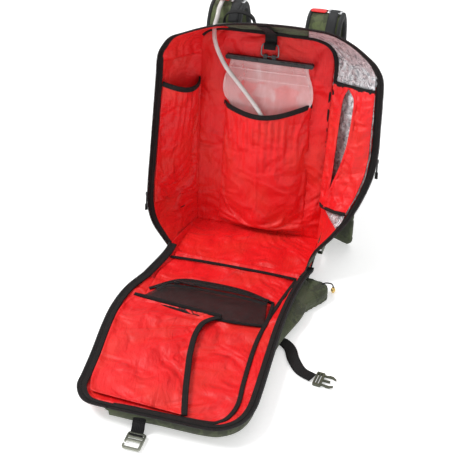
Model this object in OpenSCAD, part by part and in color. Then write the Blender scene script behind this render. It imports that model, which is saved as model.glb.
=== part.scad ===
// Ski backpack, unzipped: the front panel lies folded down in front of the standing body.
// Origin: on the resting face, under the inner face of the back panel. +Z up, opening towards -Y.

/* [Body] */
// Width of the back panel, between the hinge lines of the two side walls
back_w = 280; // [260:5:320]
// Length of the back panel, from the base up to the top seam
back_len = 450; // [400:10:520]
// Angle by which the standing back panel leans backwards
lean = 8; // [4:1:10]
// Depth of the base, from the back panel to the front panel's fold
base_depth = 150; // [130:5:180]
// Thickness of the base
base_t = 10; // [8:1:14]
// Thickness of a padded fabric wall
wall_t = 6; // [4:0.5:8]

/* [Side and top walls] */
// Depth of a side wall just above the base
wall_depth_low = 134; // [115:1:140]
// Depth of a side wall at its top
wall_depth_high = 104; // [90:1:115]
// Depth of the top wall
top_depth = 95; // [80:1:105]
// Outward flare of the left wall while the pack is open
left_flare = 32; // [25:1:45]
// Outward flare of the right wall while the pack is open
right_flare = 62; // [40:1:70]
// Upward flare of the top wall
top_flare = 24; // [15:1:30]
// Height of the sewn-down gusset under a side wall
gusset_h = 74; // [60:1:90]

/* [Front panel] */
// Length of the front panel, from its fold to its far rim
panel_len = 478; // [430:2:560]
// Width of the front panel
panel_w = 300; // [290:2:340]
// Height of the fold above the ground
fold_h = 35; // [30:1:40]
// Height of the panel's side walls above the ground
rim_h = 42; // [38:1:50]
// Thickness of the outer tool pocket under the panel
tool_pocket_t = 15; // [10:1:18]
// Flare of the panel's left side wall while it lies open
side_flare = 45; // [30:1:50]

/* [Harness] */
// Width of a shoulder strap
strap_w = 70; // [60:1:80]
// Thickness of a shoulder strap
strap_t = 13; // [9:1:16]
// Distance of each shoulder strap from the middle
strap_x = 104; // [95:1:110]
// Height of a hip belt wing
wing_h = 90; // [75:1:100]
// Reach of a hip belt wing, from its hinge
wing_len = 104; // [80:2:130]

/* [Webbing and hose] */
// Width of the webbing
web_w = 25; // [20:1:25]
// Thickness of the webbing
web_t = 2; // [1.5:0.1:2.5]
// Diameter of the drinking hose
hose_d = 9; // [7:0.5:9]

/* [Hidden] */
$fn = 32;

gap = 0.5; // clearance between neighbouring pieces
olive = [0.26, 0.29, 0.16];
red = [0.85, 0.1, 0.1];
black = [0.09, 0.09, 0.09];
lining_t = 1.5;
sheet_t = 1.5;
pad_t = 14;
pad_y = lining_t + sheet_t + 2 * gap; // inner face of the back pad, behind the frame sheet
pad_back = pad_y + pad_t;
corner_r = 40;
binding_d = 9;
track_gap = 0.6;

// ---- shared shapes -------------------------------------------------------------------

function unit(v) = v / norm(v);
function tangent(p, i) = unit(p[min(i + 1, len(p) - 1)] - p[max(i - 1, 0)]);
// A smooth curve through a few chosen points, with n steps between each two
function catmull(a, b, c, d, t) =
    0.5 * (2 * b + (c - a) * t + (2 * a - 5 * b + 4 * c - d) * t * t + (3 * b - a - 3 * c + d) * t * t * t);
function smooth(p, n = 4) = [
    for (i = [0:len(p) - 2], k = [0:n - 1])
        catmull(p[max(i - 1, 0)], p[i], p[i + 1], p[min(i + 2, len(p) - 1)], k / n),
    p[len(p) - 1]
];
// Cross-section of a flat band: a rectangle with eased edges, as [across, through] in half sizes
band_section = [[-1, -0.5], [-0.9, -1], [0.9, -1], [1, -0.5], [1, 0.5], [0.9, 1], [-0.9, 1], [-1, 0.5]];
function band_ring(p, i, w, t, side) =
    let (T = tangent(p, i), S = unit(side - (side * T) * T), N = cross(T, S))
    [for (c = band_section) p[i] + S * (c[0] * w / 2) + N * (c[1] * t / 2)];
function tube_ring(p, i, d, up) =
    let (T = tangent(p, i), S = unit(cross(T, up)), N = cross(T, S))
    [for (k = [0:7]) p[i] + (S * cos(45 * k) + N * sin(45 * k)) * d / 2];
module skin(rings) {
    m = len(rings[0]);
    n = len(rings);
    polyhedron(
        [for (r = rings, q = r) q],
        [
            [for (k = [0:m - 1]) k],
            for (i = [0:n - 2], k = [0:m - 1])
                [i * m + k, (i + 1) * m + k, (i + 1) * m + (k + 1) % m, i * m + (k + 1) % m],
            [for (k = [m - 1:-1:0]) (n - 1) * m + k]
        ],
        convexity = 6
    );
}
// A band of webbing or padding along a path; side is the direction across it
module band(path, w, t, side = [1, 0, 0]) {
    skin([for (i = [0:len(path) - 1]) band_ring(path, i, w, t, side)]);
}
module tube(path, d, up = [0.1, 1, 0.2]) {
    skin([for (i = [0:len(path) - 1]) tube_ring(path, i, d, up)]);
}
// A box from its lowest corner, with its four upright edges rounded
module slab(x, y, z, r = 0) {
    if (r > 0)
        translate([x[0], y[0], z[0]])
            linear_extrude(z[1] - z[0])
                translate([r, r]) offset(r) square([x[1] - x[0] - 2 * r, y[1] - y[0] - 2 * r]);
    else
        translate([x[0], y[0], z[0]]) cube([x[1] - x[0], y[1] - y[0], z[1] - z[0]]);
}
// An upright plate in the leaned frame: outline in [x, height], from y0 to y1
module upright(y0, y1) {
    translate([0, y1, 0]) rotate([90, 0, 0]) linear_extrude(y1 - y0) children();
}
// The frame of the back panel: it leans backwards from the back edge of the base
module leaned() {
    translate([0, 0, base_t]) rotate([-lean, 0, 0]) children();
}
function lean_point(p) = [
    p[0], p[1] * cos(lean) + p[2] * sin(lean), base_t - p[1] * sin(lean) + p[2] * cos(lean)
];
module back_outline(inset = 0) {
    hull() {
        for (s = [-1, 1])
            translate([s * (back_w / 2 - corner_r - inset), back_len - corner_r - inset])
                circle(corner_r);
        translate([-back_w / 2 + inset, inset]) square([back_w - 2 * inset, 20]);
    }
}

// ---- back panel ----------------------------------------------------------------------

stay_w = 14;
stay_t = 3;
stay_x = 50;
stay_margin = 30;

module back_lining() {
    color(red) leaned() upright(0, lining_t) back_outline();
}
module frame_sheet() {
    color("dimgray") leaned() upright(lining_t + gap, lining_t + gap + sheet_t) back_outline(8);
}
module stay_slots(clear) {
    for (s = [-1, 1])
        translate([s * stay_x - stay_w / 2 - clear, pad_y - clear, stay_margin - clear])
            cube([stay_w + 2 * clear, stay_t + 2 * clear, back_len - 2 * stay_margin + 2 * clear]);
}
module frame_stays() {
    color("silver") leaned() translate([0, gap, 0]) stay_slots(0);
}
// Foam pad with a slot for each stay, and an air channel down its outer middle
channel_w = 44;
module back_pad() {
    color(olive) leaned() difference() {
        upright(pad_y, pad_back) back_outline(2);
        translate([0, gap, 0]) stay_slots(gap);
        translate([-channel_w / 2, pad_back - 6, 150]) cube([channel_w, 10, back_len - 250]);
    }
}
lumbar_w = 224;
lumbar_t = 22;
lumbar_h = 104;
// Stands on the ground behind the back pad
lumbar_y = pad_back + gap + lumbar_h * tan(lean);
module lumbar_pad() {
    color(black)
        difference() {
            slab([-lumbar_w / 2, lumbar_w / 2], [pad_back - 10, lumbar_y + lumbar_t], [0, lumbar_h], 8);
            leaned() translate([-lumbar_w, -base_depth, -base_depth])
                cube([2 * lumbar_w, base_depth + pad_back + gap, base_depth + back_len]);
        }
}
base_lip = 6; // seam edge that reaches back under the lining
module base_panel() {
    color(olive) {
        slab([-back_w / 2, back_w / 2], [-base_depth + 4, 0], [0, base_t]);
        slab([-back_w / 2, back_w / 2], [-gap, base_lip], [0, base_t - 4]);
    }
}

// ---- walls of the body, in the leaned frame ---------------------------------------------

hinge_x = back_w / 2 + 1;
wall_top = back_len - 24;
low_left = gusset_h + 4; // lower end of the left wall, above its gusset
low_right = gusset_h + 40; // the right wall's gusset reaches higher
// Side wall drawn closed: a plate that reaches forwards from its hinge line. s is -1 left, 1 right
module wall_plate(s, flare, low, high, t = wall_t, inset = 0, front = 0, off = 0) {
    depth_at_low = wall_depth_low - (low - gusset_h) * (wall_depth_low - wall_depth_high) / (wall_top - gusset_h);
    depth_at_high = wall_depth_low - (high - gusset_h) * (wall_depth_low - wall_depth_high) / (wall_top - gusset_h);
    leaned()
        translate([s * hinge_x, 0, 0])
            rotate([0, 0, s * flare])
                translate([s > 0 ? off : -off - t, 0, 0])
                    rotate([90, 0, 90])
                        linear_extrude(t)
                            polygon([
                                [-2 - inset, low], [-depth_at_low + front, low],
                                [-depth_at_high + front, high], [-2 - inset, high]
                            ]);
}
module left_wall() {
    color(olive) wall_plate(-1, left_flare, low_left, wall_top, front = binding_d / 2 + track_gap);
}
module right_wall() {
    color(olive) wall_plate(1, right_flare, low_right, wall_top, front = binding_d / 2 + track_gap);
}
// Under each moving wall a low gusset is sewn to the base and doesn't move
module side_gussets() {
    color(olive) for (s = [-1, 1])
        leaned()
            translate([s * (hinge_x - 0.5), 0, 0])
                rotate([0, 0, s * 4])
                    translate([s > 0 ? 0 : -wall_t, 0, 0])
                        rotate([90, 0, 90])
                            linear_extrude(wall_t)
                                polygon([
                                    [-2, 0], [-base_depth + 12, 0], [-base_depth + 12, 24],
                                    [-base_depth + 26, gusset_h], [-2, gusset_h]
                                ]);
}

top_w = back_w - 2 * corner_r + 12;
module top_wall() {
    color(olive)
        leaned()
            translate([0, 0, back_len + gap])
                rotate([-top_flare, 0, 0])
                    slab([-top_w / 2, top_w / 2], [-top_depth + binding_d / 2 + track_gap, -1], [0, wall_t]);
}
module top_zip_track() {
    color(black)
        leaned()
            translate([0, 0, back_len + gap])
                rotate([-top_flare, 0, 0])
                    translate([-top_w / 2, -top_depth, wall_t / 2])
                        rotate([0, 90, 0])
                            cylinder(d = binding_d, h = top_w);
}
// The bound rim with its zip tape, along the free edge of a side wall
module side_track(s, flare, low) {
    rise = wall_top - low;
    depth_low = wall_depth_low - (low - gusset_h) * (wall_depth_low - wall_depth_high) / (wall_top - gusset_h);
    color(black)
        leaned()
            translate([s * hinge_x, 0, 0])
                rotate([0, 0, s * flare])
                    translate([s * wall_t / 2, -depth_low, low])
                        rotate([-atan((depth_low - wall_depth_high) / rise), 0, 0])
                            cylinder(d = binding_d, h = norm([rise, depth_low - wall_depth_high]));
}
module left_zip_track() { side_track(-1, left_flare, low_left); }
module right_zip_track() { side_track(1, right_flare, low_right); }

// ---- zip sliders -------------------------------------------------------------------------

slider_l = 12;
slider_w = 9;
slider_t = 4;
puller_l = 34;
// Slider body, its bridge and a corded puller, lying in the x-y plane with the zip along x
module zip_slider() {
    color([0.12, 0.12, 0.12]) {
        difference() {
            hull() {
                translate([-slider_l / 2, -slider_w / 2, 0]) cube([slider_l * 0.4, slider_w, slider_t]);
                translate([slider_l / 2 - 2, -slider_w * 0.3, 0]) cube([2, slider_w * 0.6, slider_t]);
            }
            translate([-slider_l, -1.2, slider_t - 1.6]) cube([2 * slider_l, 2.4, 1]);
        }
        difference() {
            translate([-3, -1, slider_t - 0.1]) cube([7, 2, 3]);
            translate([-1.5, -2, slider_t + 0.4]) cube([4, 4, 1.5]);
        }
        translate([0.4, 0, slider_t + 1.2]) rotate([0, 4, 0]) {
            translate([0, -1.5, -0.5]) cube([puller_l, 3, 1.2]);
            translate([puller_l - 12, -3, -1.4]) cube([14, 6, 3]);
        }
    }
}
left_park = 16; // how far above its wall's lower end each slider is parked
right_park = 110;
module wall_slider(s, flare, low, park) {
    rise = wall_top - low;
    depth_low = wall_depth_low - (low - gusset_h) * (wall_depth_low - wall_depth_high) / (wall_top - gusset_h);
    leaned()
        translate([s * hinge_x, 0, 0])
            rotate([0, 0, s * flare])
                translate([s * wall_t / 2, -depth_low, low])
                    rotate([-atan((depth_low - wall_depth_high) / rise), 0, 0])
                        translate([s * (binding_d / 2 + track_gap), 0, park])
                            rotate([0, 90, s < 0 ? 180 : 0]) zip_slider();
}
module left_zip_slider() { wall_slider(-1, left_flare, low_left, left_park); }
module right_zip_slider() { wall_slider(1, right_flare, low_right, right_park); }

// ---- pockets on the body -----------------------------------------------------------------

sleeve_w = 196;
sleeve_top = 300;
sleeve_x = 8;
sleeve_t = 40;
bag_w = 184;
bag_t = 14;
bag_top = 388;
bag_bottom = 40;
closure_h = 9;

// Gathered sleeve for the drinking bag, open at its top
module hydration_sleeve() {
    color(red) leaned() difference() {
        translate([sleeve_x - sleeve_w / 2, -sleeve_t, 16]) cube([sleeve_w, sleeve_t - gap, sleeve_top - 16]);
        translate([sleeve_x - sleeve_w / 2 + 3, -sleeve_t + 3, 20])
            cube([sleeve_w - 6, sleeve_t - 3 - 2 * gap, sleeve_top]);
    }
}
module reservoir_bag() {
    color([0.9, 0.75, 0.75, 0.6]) leaned()
        translate([sleeve_x, -4, 0]) upright(-bag_t, 0) {
            hull() {
                translate([-bag_w / 2 + 20, bag_bottom]) square([bag_w - 40, 10]);
                for (s = [-1, 1]) translate([s * (bag_w / 2 - 30), bag_top - 60]) circle(30);
                translate([-bag_w / 2 + 10, bag_top - 12]) square([bag_w - 20, 12]);
            }
        }
}
closure_w = 176;
// Two lugs on the bar hold the wire hook
lug_x = 9;
lug_w = 8;
lug_rise = 4.5;
ring_w = 36;
ring_h = 26;
ring_d = 3;
ring_z = bag_top + gap + closure_h + lug_rise;
// Slide bar that seals the bag's folded top
module reservoir_closure() {
    color([0.15, 0.15, 0.16]) leaned() translate([sleeve_x, -4 - bag_t / 2, bag_top + gap]) {
        translate([-closure_w / 2, -5, 0]) cube([closure_w, 10, closure_h]);
        for (s = [-1, 1]) translate([s * closure_w / 2, 5.5, closure_h / 2]) rotate([90, 0, 0]) cylinder(r = 5, h = 11);
        for (s = [-1, 1]) translate([s * lug_x - lug_w / 2, -3, closure_h]) difference() {
            cube([lug_w, 6, 2 * lug_rise]);
            translate([-1, 3, lug_rise]) rotate([0, 90, 0]) cylinder(r = ring_d / 2 + 0.8, h = lug_w + 2);
        }
    }
}
// Wire hook that hangs the closure from the webbing
module hanger_ring() {
    color([0.2, 0.2, 0.2]) leaned() translate([sleeve_x, -4 - bag_t / 2, ring_z]) {
        translate([-ring_w / 2, 0, 0]) cylinder(d = ring_d, h = ring_h);
        translate([ring_w / 2, 0, 0]) cylinder(d = ring_d, h = ring_h);
        for (z = [0, ring_h]) translate([-ring_w / 2, 0, z]) rotate([0, 90, 0]) cylinder(d = ring_d, h = ring_w);
        for (x = [-1, 1], z = [0, ring_h]) translate([x * ring_w / 2, 0, z]) sphere(d = ring_d);
    }
}
// Webbing from the top rim down to the ring, folded round it
strap_loop = [
    [0, -top_depth * 0.9, back_len + top_depth * 0.9 * sin(top_flare) - 3],
    [0, -top_depth * 0.5, back_len + top_depth * 0.5 * sin(top_flare) - 4],
    [0, -14, back_len + 2],
    [0, -8, back_len - 12],
    [0, -7, ring_z + ring_h + 5],
    [0, -4 - bag_t / 2 - 4.5, ring_z + ring_h + 1],
    [0, -4 - bag_t / 2 - 4.5, ring_z + ring_h - 5]
];
module hanger_strap() {
    color(black) leaned() translate([sleeve_x, 0, 0]) band(smooth(strap_loop), web_w, web_t);
}
left_pocket_top = 340;
left_pocket_t = 34; // how far the left pocket stands off its wall
right_pocket_t = 28; // the same for the right pocket
skin_t = 2;
// Gathered pocket on the left wall, open at its top
module left_pocket() {
    color(red) difference() {
        wall_plate(-1, left_flare, low_left + 6, left_pocket_top,
                   t = left_pocket_t, inset = 12, front = 16, off = -left_pocket_t - gap);
        wall_plate(-1, left_flare, low_left + 6 + skin_t, left_pocket_top + 9,
                   t = left_pocket_t - 2 * skin_t, inset = 12 + skin_t, front = 16 + skin_t,
                   off = -left_pocket_t + skin_t - gap);
    }
}
module foil_liner() {
    color("silver") wall_plate(1, right_flare, low_right + 6, wall_top - 10, t = 2, inset = 4, front = 13, off = -2 - gap);
}
right_pocket_top = 378;
slit_w = 22;
// Two leaves over the foil with a long slit between them, open into the pocket
module right_pocket() {
    back_off = -right_pocket_t - 2 - 2 * gap; // in front of the foil
    color(red) difference() {
        wall_plate(1, right_flare, low_right + 6, right_pocket_top,
                   t = right_pocket_t, inset = 4, front = 14, off = back_off);
        wall_plate(1, right_flare, low_right + 6 + skin_t, right_pocket_top + 9,
                   t = right_pocket_t - 2 * skin_t, inset = 4 + skin_t, front = 14 + skin_t, off = back_off + skin_t);
        leaned() translate([hinge_x, 0, 0]) rotate([0, 0, right_flare])
            translate([-right_pocket_t * 2, -62 - slit_w / 2, low_right + 20])
                cube([right_pocket_t * 1.6, slit_w, right_pocket_top]);
    }
}

// ---- drinking hose -----------------------------------------------------------------------

// Route of the hose in the leaned frame: out of the sleeve, past the closure and through the top corner
hose_route = [
    [14, -27, 236], [10, -28, 262], [0, -30, 284], [-18, -32, 308], [-46, -32, 340], [-76, -30, 372],
    [-97, -26, 404], [-108, -20, 430], [-112, -8, 450], [-112, 8, 466]
];
module drinking_hose() {
    color([0.85, 0.85, 0.85]) leaned() tube(smooth(hose_route, 3), hose_d);
}

// ---- hinge strip and front panel ------------------------------------------------------------

strip_t = 3;
module hinge_strip() {
    color(black)
        slab([-back_w / 2 + 10, back_w / 2 - 10], [-base_depth + 1, -base_depth + 1 + strip_t - gap], [0, fold_h - 2]);
}
panel_y = -base_depth - 2; // near edge of the panel
floor_z = tool_pocket_t + gap;
floor_t = 4;
panel_r = 60;
near_r = 22;
// Outline of the panel seen from above, with its far corners rounded
module panel_outline(inset = 0, left = 0) {
    translate([0, panel_y])
        hull() {
            for (s = [-1, 1])
                translate([s * (panel_w / 2 - panel_r - inset) + (s < 0 ? left : 0), -panel_len + panel_r + inset])
                    circle(panel_r);
            for (s = [-1, 1])
                translate([s * (panel_w / 2 - near_r - inset) + (s < 0 ? left : 0), -near_r - inset]) circle(near_r);
        }
}
side_span = [-panel_len + 70, -90]; // stretch of the left edge whose wall folds, from the fold line
// Tray of the front panel: floor, right wall, far wall and the two far corners; the left wall is separate
module front_shell() {
    color(olive) translate([0, 0, floor_z]) difference() {
        linear_extrude(rim_h - floor_z - binding_d - track_gap) panel_outline();
        translate([0, 0, floor_t]) linear_extrude(rim_h) panel_outline(5);
        translate([-panel_w, panel_y + side_span[0] - 1, floor_t])
            cube([panel_w - panel_w / 2 + 30, side_span[1] - side_span[0] + 2, rim_h]);
        translate([-panel_w, panel_y - 18, floor_t]) cube([2 * panel_w, 30, rim_h]);
    }
}
module front_lining() {
    color(red) translate([0, 0, floor_z + floor_t + gap / 2])
        linear_extrude(lining_t) panel_outline(9);
}
// Rim of the tray: along the right wall, round the far end to the start of the moving left wall
track_inset = 2.5;
track_z = rim_h - binding_d / 2;
rim_right = [
    [panel_w / 2 - track_inset, panel_y - 22, track_z],
    [panel_w / 2 - track_inset, panel_y - panel_len / 2, track_z],
    [panel_w / 2 - track_inset, panel_y - panel_len + panel_r + 20, track_z]
];
function corner_arc(cx, cy, r, a0, a1, n) =
    [for (k = [0:n]) let (a = a0 + (a1 - a0) * k / n) [cx + r * cos(a), cy + r * sin(a), track_z]];
far_cy = panel_y - panel_len + panel_r;
module front_zip_track() {
    color(black)
        tube(
            concat(
                rim_right,
                corner_arc(panel_w / 2 - panel_r, far_cy, panel_r - track_inset, 0, -90, 5),
                corner_arc(-panel_w / 2 + panel_r, far_cy, panel_r - track_inset, -90, -172, 5)
            ),
            binding_d, [0, 0, 1]
        );
}
inner_z = floor_z + floor_t + gap + lining_t; // top face of the panel's lining
pocket_lift = rim_h - inner_z - 4;
// Big flap pocket over the far half, open along its right side
aid_x = 40;
aid_near = 166;
module aid_pocket() {
    color(red) difference() {
        translate([0, 0, inner_z]) linear_extrude(pocket_lift) intersection() {
            panel_outline(11);
            translate([-panel_w, panel_y - panel_len]) square([panel_w + aid_x, panel_len - aid_near]);
        }
        translate([0, 0, inner_z + 3]) linear_extrude(pocket_lift - 6) intersection() {
            panel_outline(15);
            translate([-panel_w, panel_y - panel_len]) square([panel_w + aid_x + 1, panel_len - aid_near - 5]);
        }
    }
}
mesh_x = [-120, 112];
mesh_y = [-158, -74]; // from the fold line
mesh_zip_y = -112;
mesh_lift = 12;
// Low mesh pocket next to the fold, slit along its zip
module mesh_pocket() {
    color([0.12, 0.12, 0.12]) difference() {
        slab(mesh_x, [panel_y + mesh_y[0], panel_y + mesh_y[1]], [inner_z, inner_z + mesh_lift], 8);
        slab([mesh_x[0] + 3, mesh_x[1] - 3], [panel_y + mesh_y[0] + 3, panel_y + mesh_y[1] - 3],
             [inner_z + 2, inner_z + mesh_lift - 2], 6);
        slab([mesh_x[0] + 14, mesh_x[1] - 14], [panel_y + mesh_zip_y - 7, panel_y + mesh_zip_y + 7],
             [inner_z + 3, inner_z + mesh_lift + 5]);
    }
}
zip_t = 1.6;
// Its two tapes stand apart, because the zip is open
module mesh_zip() {
    color(black) for (s = [-1, 1])
        translate([0, panel_y + mesh_zip_y + s * 5, 0])
            slab([mesh_x[0] + 14.5, mesh_x[1] - 14.5], [-1.7, 1.7], [inner_z + mesh_lift - zip_t, inner_z + mesh_lift]);
}
module mesh_zip_slider() {
    translate([mesh_x[0] + 26, panel_y + mesh_zip_y, inner_z + mesh_lift + track_gap]) zip_slider();
}
module tool_pocket() {
    color([0.2, 0.2, 0.12]) linear_extrude(tool_pocket_t) panel_outline(10);
}
boot_len = 100;
boot_out = 52;
// Bulging foot of the pack at the right of the fold, with its black edge resting on the ground
module boot_gusset() {
    color(black) translate([panel_w / 2 + gap, panel_y - 4, 0]) linear_extrude(26)
        hull() {
            translate([0, -boot_len]) square([1, boot_len]);
            translate([boot_out - 26, -30]) circle(26);
            translate([8, -boot_len + 10]) circle(8);
        }
}
// Cord pull of the foot pocket's zip, weighted by a brass bead beside the bulge
bead_d = 10;
bead_route = [[186, -172, 28.5], [196, -168.5, 28.5], [205, -163, 24], [208, -160, 15], [208, -160, 12]];
module bead_pull() {
    color([0.72, 0.58, 0.2]) {
        tube(smooth(bead_route, 3), 2.5);
        translate([208, -160, bead_d / 2 + 1.5]) sphere(d = bead_d);
    }
}
side_t = 4;
side_base = 6; // height of the left wall's fold
side_wall_h = rim_h - side_base - binding_d - track_gap;
// Left wall of the tray: it flops outwards while the pack is open, about a fold at its lower edge
module panel_left_side() {
    translate([-panel_w / 2 - gap, panel_y + side_span[0], side_base]) rotate([0, -side_flare, 0]) children();
}
module panel_side_wall() {
    color(olive) panel_left_side()
        translate([-side_t, 0, gap]) cube([side_t, side_span[1] - side_span[0], side_wall_h - gap]);
}
module panel_side_zip_track() {
    color(black) panel_left_side()
        translate([-side_t / 2, 0, side_wall_h + binding_d / 2 + track_gap])
            rotate([-90, 0, 0]) cylinder(d = binding_d, h = side_span[1] - side_span[0]);
}

// ---- straps of the front panel --------------------------------------------------------------

top_strap_x = -36;
hook_y = panel_y - panel_len - 18; // the G-hook's own pivot line
hook_z = 3;
hook_t = 4;
// From the shell's far wall down to the hook, which lies on the ground
top_strap_route = [
    [0, panel_y - panel_len - 2.5, floor_z + 7], [1, hook_y + 10.5, floor_z + 3],
    [3, hook_y + 8, 13.5], [4, hook_y + 3, hook_z + hook_t + 1.6]
];
module top_strap() {
    color(black) translate([top_strap_x, 0, 0]) band(smooth(top_strap_route), web_w, web_t);
}
hook_w = 34;
hook_l = 38;
// Aluminium hook: a slotted bar for the webbing and an open hook beyond it
module g_hook() {
    color([0.5, 0.52, 0.46]) translate([top_strap_x + 4, hook_y, hook_z]) difference() {
        translate([-hook_w / 2, -hook_l, 0]) slab([0, hook_w], [0, hook_l], [0, hook_t], 5);
        translate([-hook_w / 2 + 3.5, -8, -1]) cube([hook_w - 7, 4.5, hook_t + 2]);
        translate([-hook_w / 2 + 3.5, -15.5, -1]) cube([hook_w - 7, 4.5, hook_t + 2]);
        translate([-hook_w / 2 + 3.5, -hook_l + 4.5, -1]) cube([hook_w - 8, 14.5, hook_t + 2]);
        translate([-hook_w / 2 - 1, -hook_l + 10, -1]) cube([6, 5, hook_t + 2]);
    }
}
strap_z = 4;
// Compression strap at each side of the panel: the right one trails on the ground, the left one is tucked
right_side_route = [
    [panel_w / 2 - 9, panel_y - 190, strap_z], [panel_w / 2 + 2, panel_y - 192, strap_z],
    [panel_w / 2 + 17, panel_y - 206, strap_z], [panel_w / 2 + 30, panel_y - 232, strap_z],
    [panel_w / 2 + 50, panel_y - 258, strap_z], [panel_w / 2 + 76, panel_y - 270, strap_z]
];
low_z = 1.2; // the tucked strap lies flat on the ground
left_side_route = [
    [-panel_w / 2 + 9, panel_y - 146, low_z], [-panel_w / 2 - 2, panel_y - 148, low_z],
    [-panel_w / 2 - 15, panel_y - 158, low_z], [-panel_w / 2 - 23, panel_y - 178, low_z],
    [-panel_w / 2 - 25, panel_y - 204, low_z], [-panel_w / 2 - 25, panel_y - 240, low_z]
];
module side_straps() {
    color(black) {
        band(smooth(right_side_route), web_w, web_t, [0.7, 0.7, 0.1]);
        band(smooth(left_side_route), web_w - 5, web_t, [0.8, 0.6, 0]);
    }
}
// Male half of a side-release buckle, pointing along +x from its webbing bar
buckle_w = 34;
plug_t = 6;
module buckle_plug() {
    color([0.16, 0.18, 0.12]) {
        difference() {
            translate([0, -buckle_w / 2, 0]) slab([0, 16], [0, buckle_w], [0, plug_t], 2);
            translate([3, -web_w / 2 - 0.5, -1]) cube([3, web_w + 1, 8]);
            translate([8.5, -web_w / 2 - 0.5, -1]) cube([3, web_w + 1, 8]);
        }
        translate([14, -2, 1]) cube([16, 4, 4]);
        for (s = [-1, 1]) scale([1, s, 1]) translate([0, 0, 1]) linear_extrude(4)
            polygon([[15, 14], [20, 13.5], [26, 15.5], [32, 15], [39, 10], [38, 8], [31, 11], [20, 10.5], [15, 10]]);
    }
}
socket_t = 10;
module buckle_socket() {
    color([0.16, 0.18, 0.12]) difference() {
        translate([0, -buckle_w / 2, 0]) slab([0, 40], [0, buckle_w], [0, socket_t], 4);
        translate([3, -web_w / 2 - 0.5, -1]) cube([4, web_w + 1, socket_t + 2]);
        translate([14, -buckle_w / 2 + 3, 1.5]) cube([40, buckle_w - 6, socket_t - 3]);
        for (s = [-1, 1]) translate([20, s * buckle_w / 2 - 4, 1.5]) cube([10, 8, socket_t - 3]);
    }
}
module side_strap_buckles() {
    translate([panel_w / 2 + 80, panel_y - 270.5, 1]) rotate([0, 0, -6]) buckle_plug();
    translate([-panel_w / 2 - 25, panel_y - 241, 0.2]) rotate([0, 0, -90]) buckle_plug();
}
// Socket halves stand on the outside of each gusset
module side_buckle_sockets() {
    for (s = [-1, 1])
        mirror([s < 0 ? 1 : 0, 0, 0]) translate([hinge_x + wall_t + 7, -44, 50])
            rotate([-90, 0, 0]) rotate([0, 90, 0]) buckle_socket();
}

// ---- harness --------------------------------------------------------------------------------

// Side view of a shoulder strap, from its upper anchor over the arch and down behind the back
strap_route = [
    [0, 84, 424], [0, 94, 452], [0, 114, 474], [0, 142, 474], [0, 163, 446],
    [0, 171, 390], [0, 166, 320], [0, 150, 250], [0, 130, 196]
];
module strap_body(s) {
    color(olive) translate([s * strap_x, 0, 0]) band(smooth(strap_route), strap_w, strap_t);
}
module left_shoulder_strap() { strap_body(-1); }
module right_shoulder_strap() { strap_body(1); }
// The same curve moved out from the strap's middle, from step a to step b, for what lies on the strap
outer_curve = smooth(strap_route);
function outer(rise, a, b) =
    [for (i = [a:b]) outer_curve[i] + cross([1, 0, 0], tangent(outer_curve, i)) * rise];
cover_t = 3;
cover_w = 34;
face = strap_t / 2 + gap; // height of the strap's outer face above its middle, with clearance
module left_strap_sleeve() {
    color(red) translate([-strap_x - 10, 0, 0])
        band(outer(face + hose_d + 3 + cover_t / 2, 8, 15), cover_w, cover_t);
}
module right_strap_pocket() {
    color(red) translate([strap_x - 16, 0, 0]) band(outer(face + cover_t / 2, 9, 15), cover_w, cover_t);
}
lifter_w = 20;
module load_lifter(x) {
    color(black) translate([x, 0, 0]) band(outer(face + web_t / 2, 4, 16), lifter_w, web_t);
}
module left_load_lifter() { load_lifter(-strap_x + 20); }
module right_load_lifter() { load_lifter(strap_x + 16); }
// The hose goes on under the sleeve and ends in its bite valve
module strap_hose() {
    color([0.85, 0.85, 0.85]) translate([-strap_x - 10, 0, 0])
        tube(outer(face + hose_d / 2 + 1.5, 8, 17), hose_d, [1, 0.1, 0]);
}
module bite_valve() {
    at = outer(face + hose_d / 2 + 1.5, 17, 18);
    color([0.2, 0.3, 0.45]) translate([-strap_x - 10, 0, 0]) translate(at[0])
        rotate([atan2(at[0][1] - at[1][1], at[1][2] - at[0][2]), 0, 0])
            translate([0, 0, gap]) {
                cylinder(d = hose_d + 2, h = 8);
                translate([0, 0, 8]) cylinder(d1 = hose_d + 1, d2 = hose_d - 2, h = 16);
            }
}
lock_y = 122;
lock_z = 168;
lower_route = [[0, lock_y - 4, lock_z - 14], [0, 104, 130], [0, 82, 108], [0, 66, 104]];
// Webbing from the lumbar up to the ladder lock
module lower_webbing() {
    color(black) for (s = [-1, 1])
        translate([s * strap_x, 0, 0]) band(smooth(lower_route), web_w, web_t);
}
lock_h = 24;
// Ladder lock: a frame with two bars, which tips to let the webbing run
module ladder_lock(s) {
    color([0.13, 0.13, 0.13])
        translate([s * strap_x, lock_y, lock_z]) rotate([-28, 0, 0]) translate([0, 0, -lock_h / 2]) difference() {
            translate([-buckle_w / 2, -3, 0]) cube([buckle_w, 6, lock_h]);
            translate([-web_w / 2 - 1, -4, 3]) cube([web_w + 2, 8, 4]);
            translate([-web_w / 2 - 1, -4, 10]) cube([web_w + 2, 8, 4]);
            translate([-web_w / 2 - 1, -4, 17]) cube([web_w + 2, 8, 4]);
        }
}
module left_ladder_lock() { ladder_lock(-1); }
module right_ladder_lock() { ladder_lock(1); }
sternum_z = 340;
sternum_y = 172 + strap_t / 2 + 3;
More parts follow.
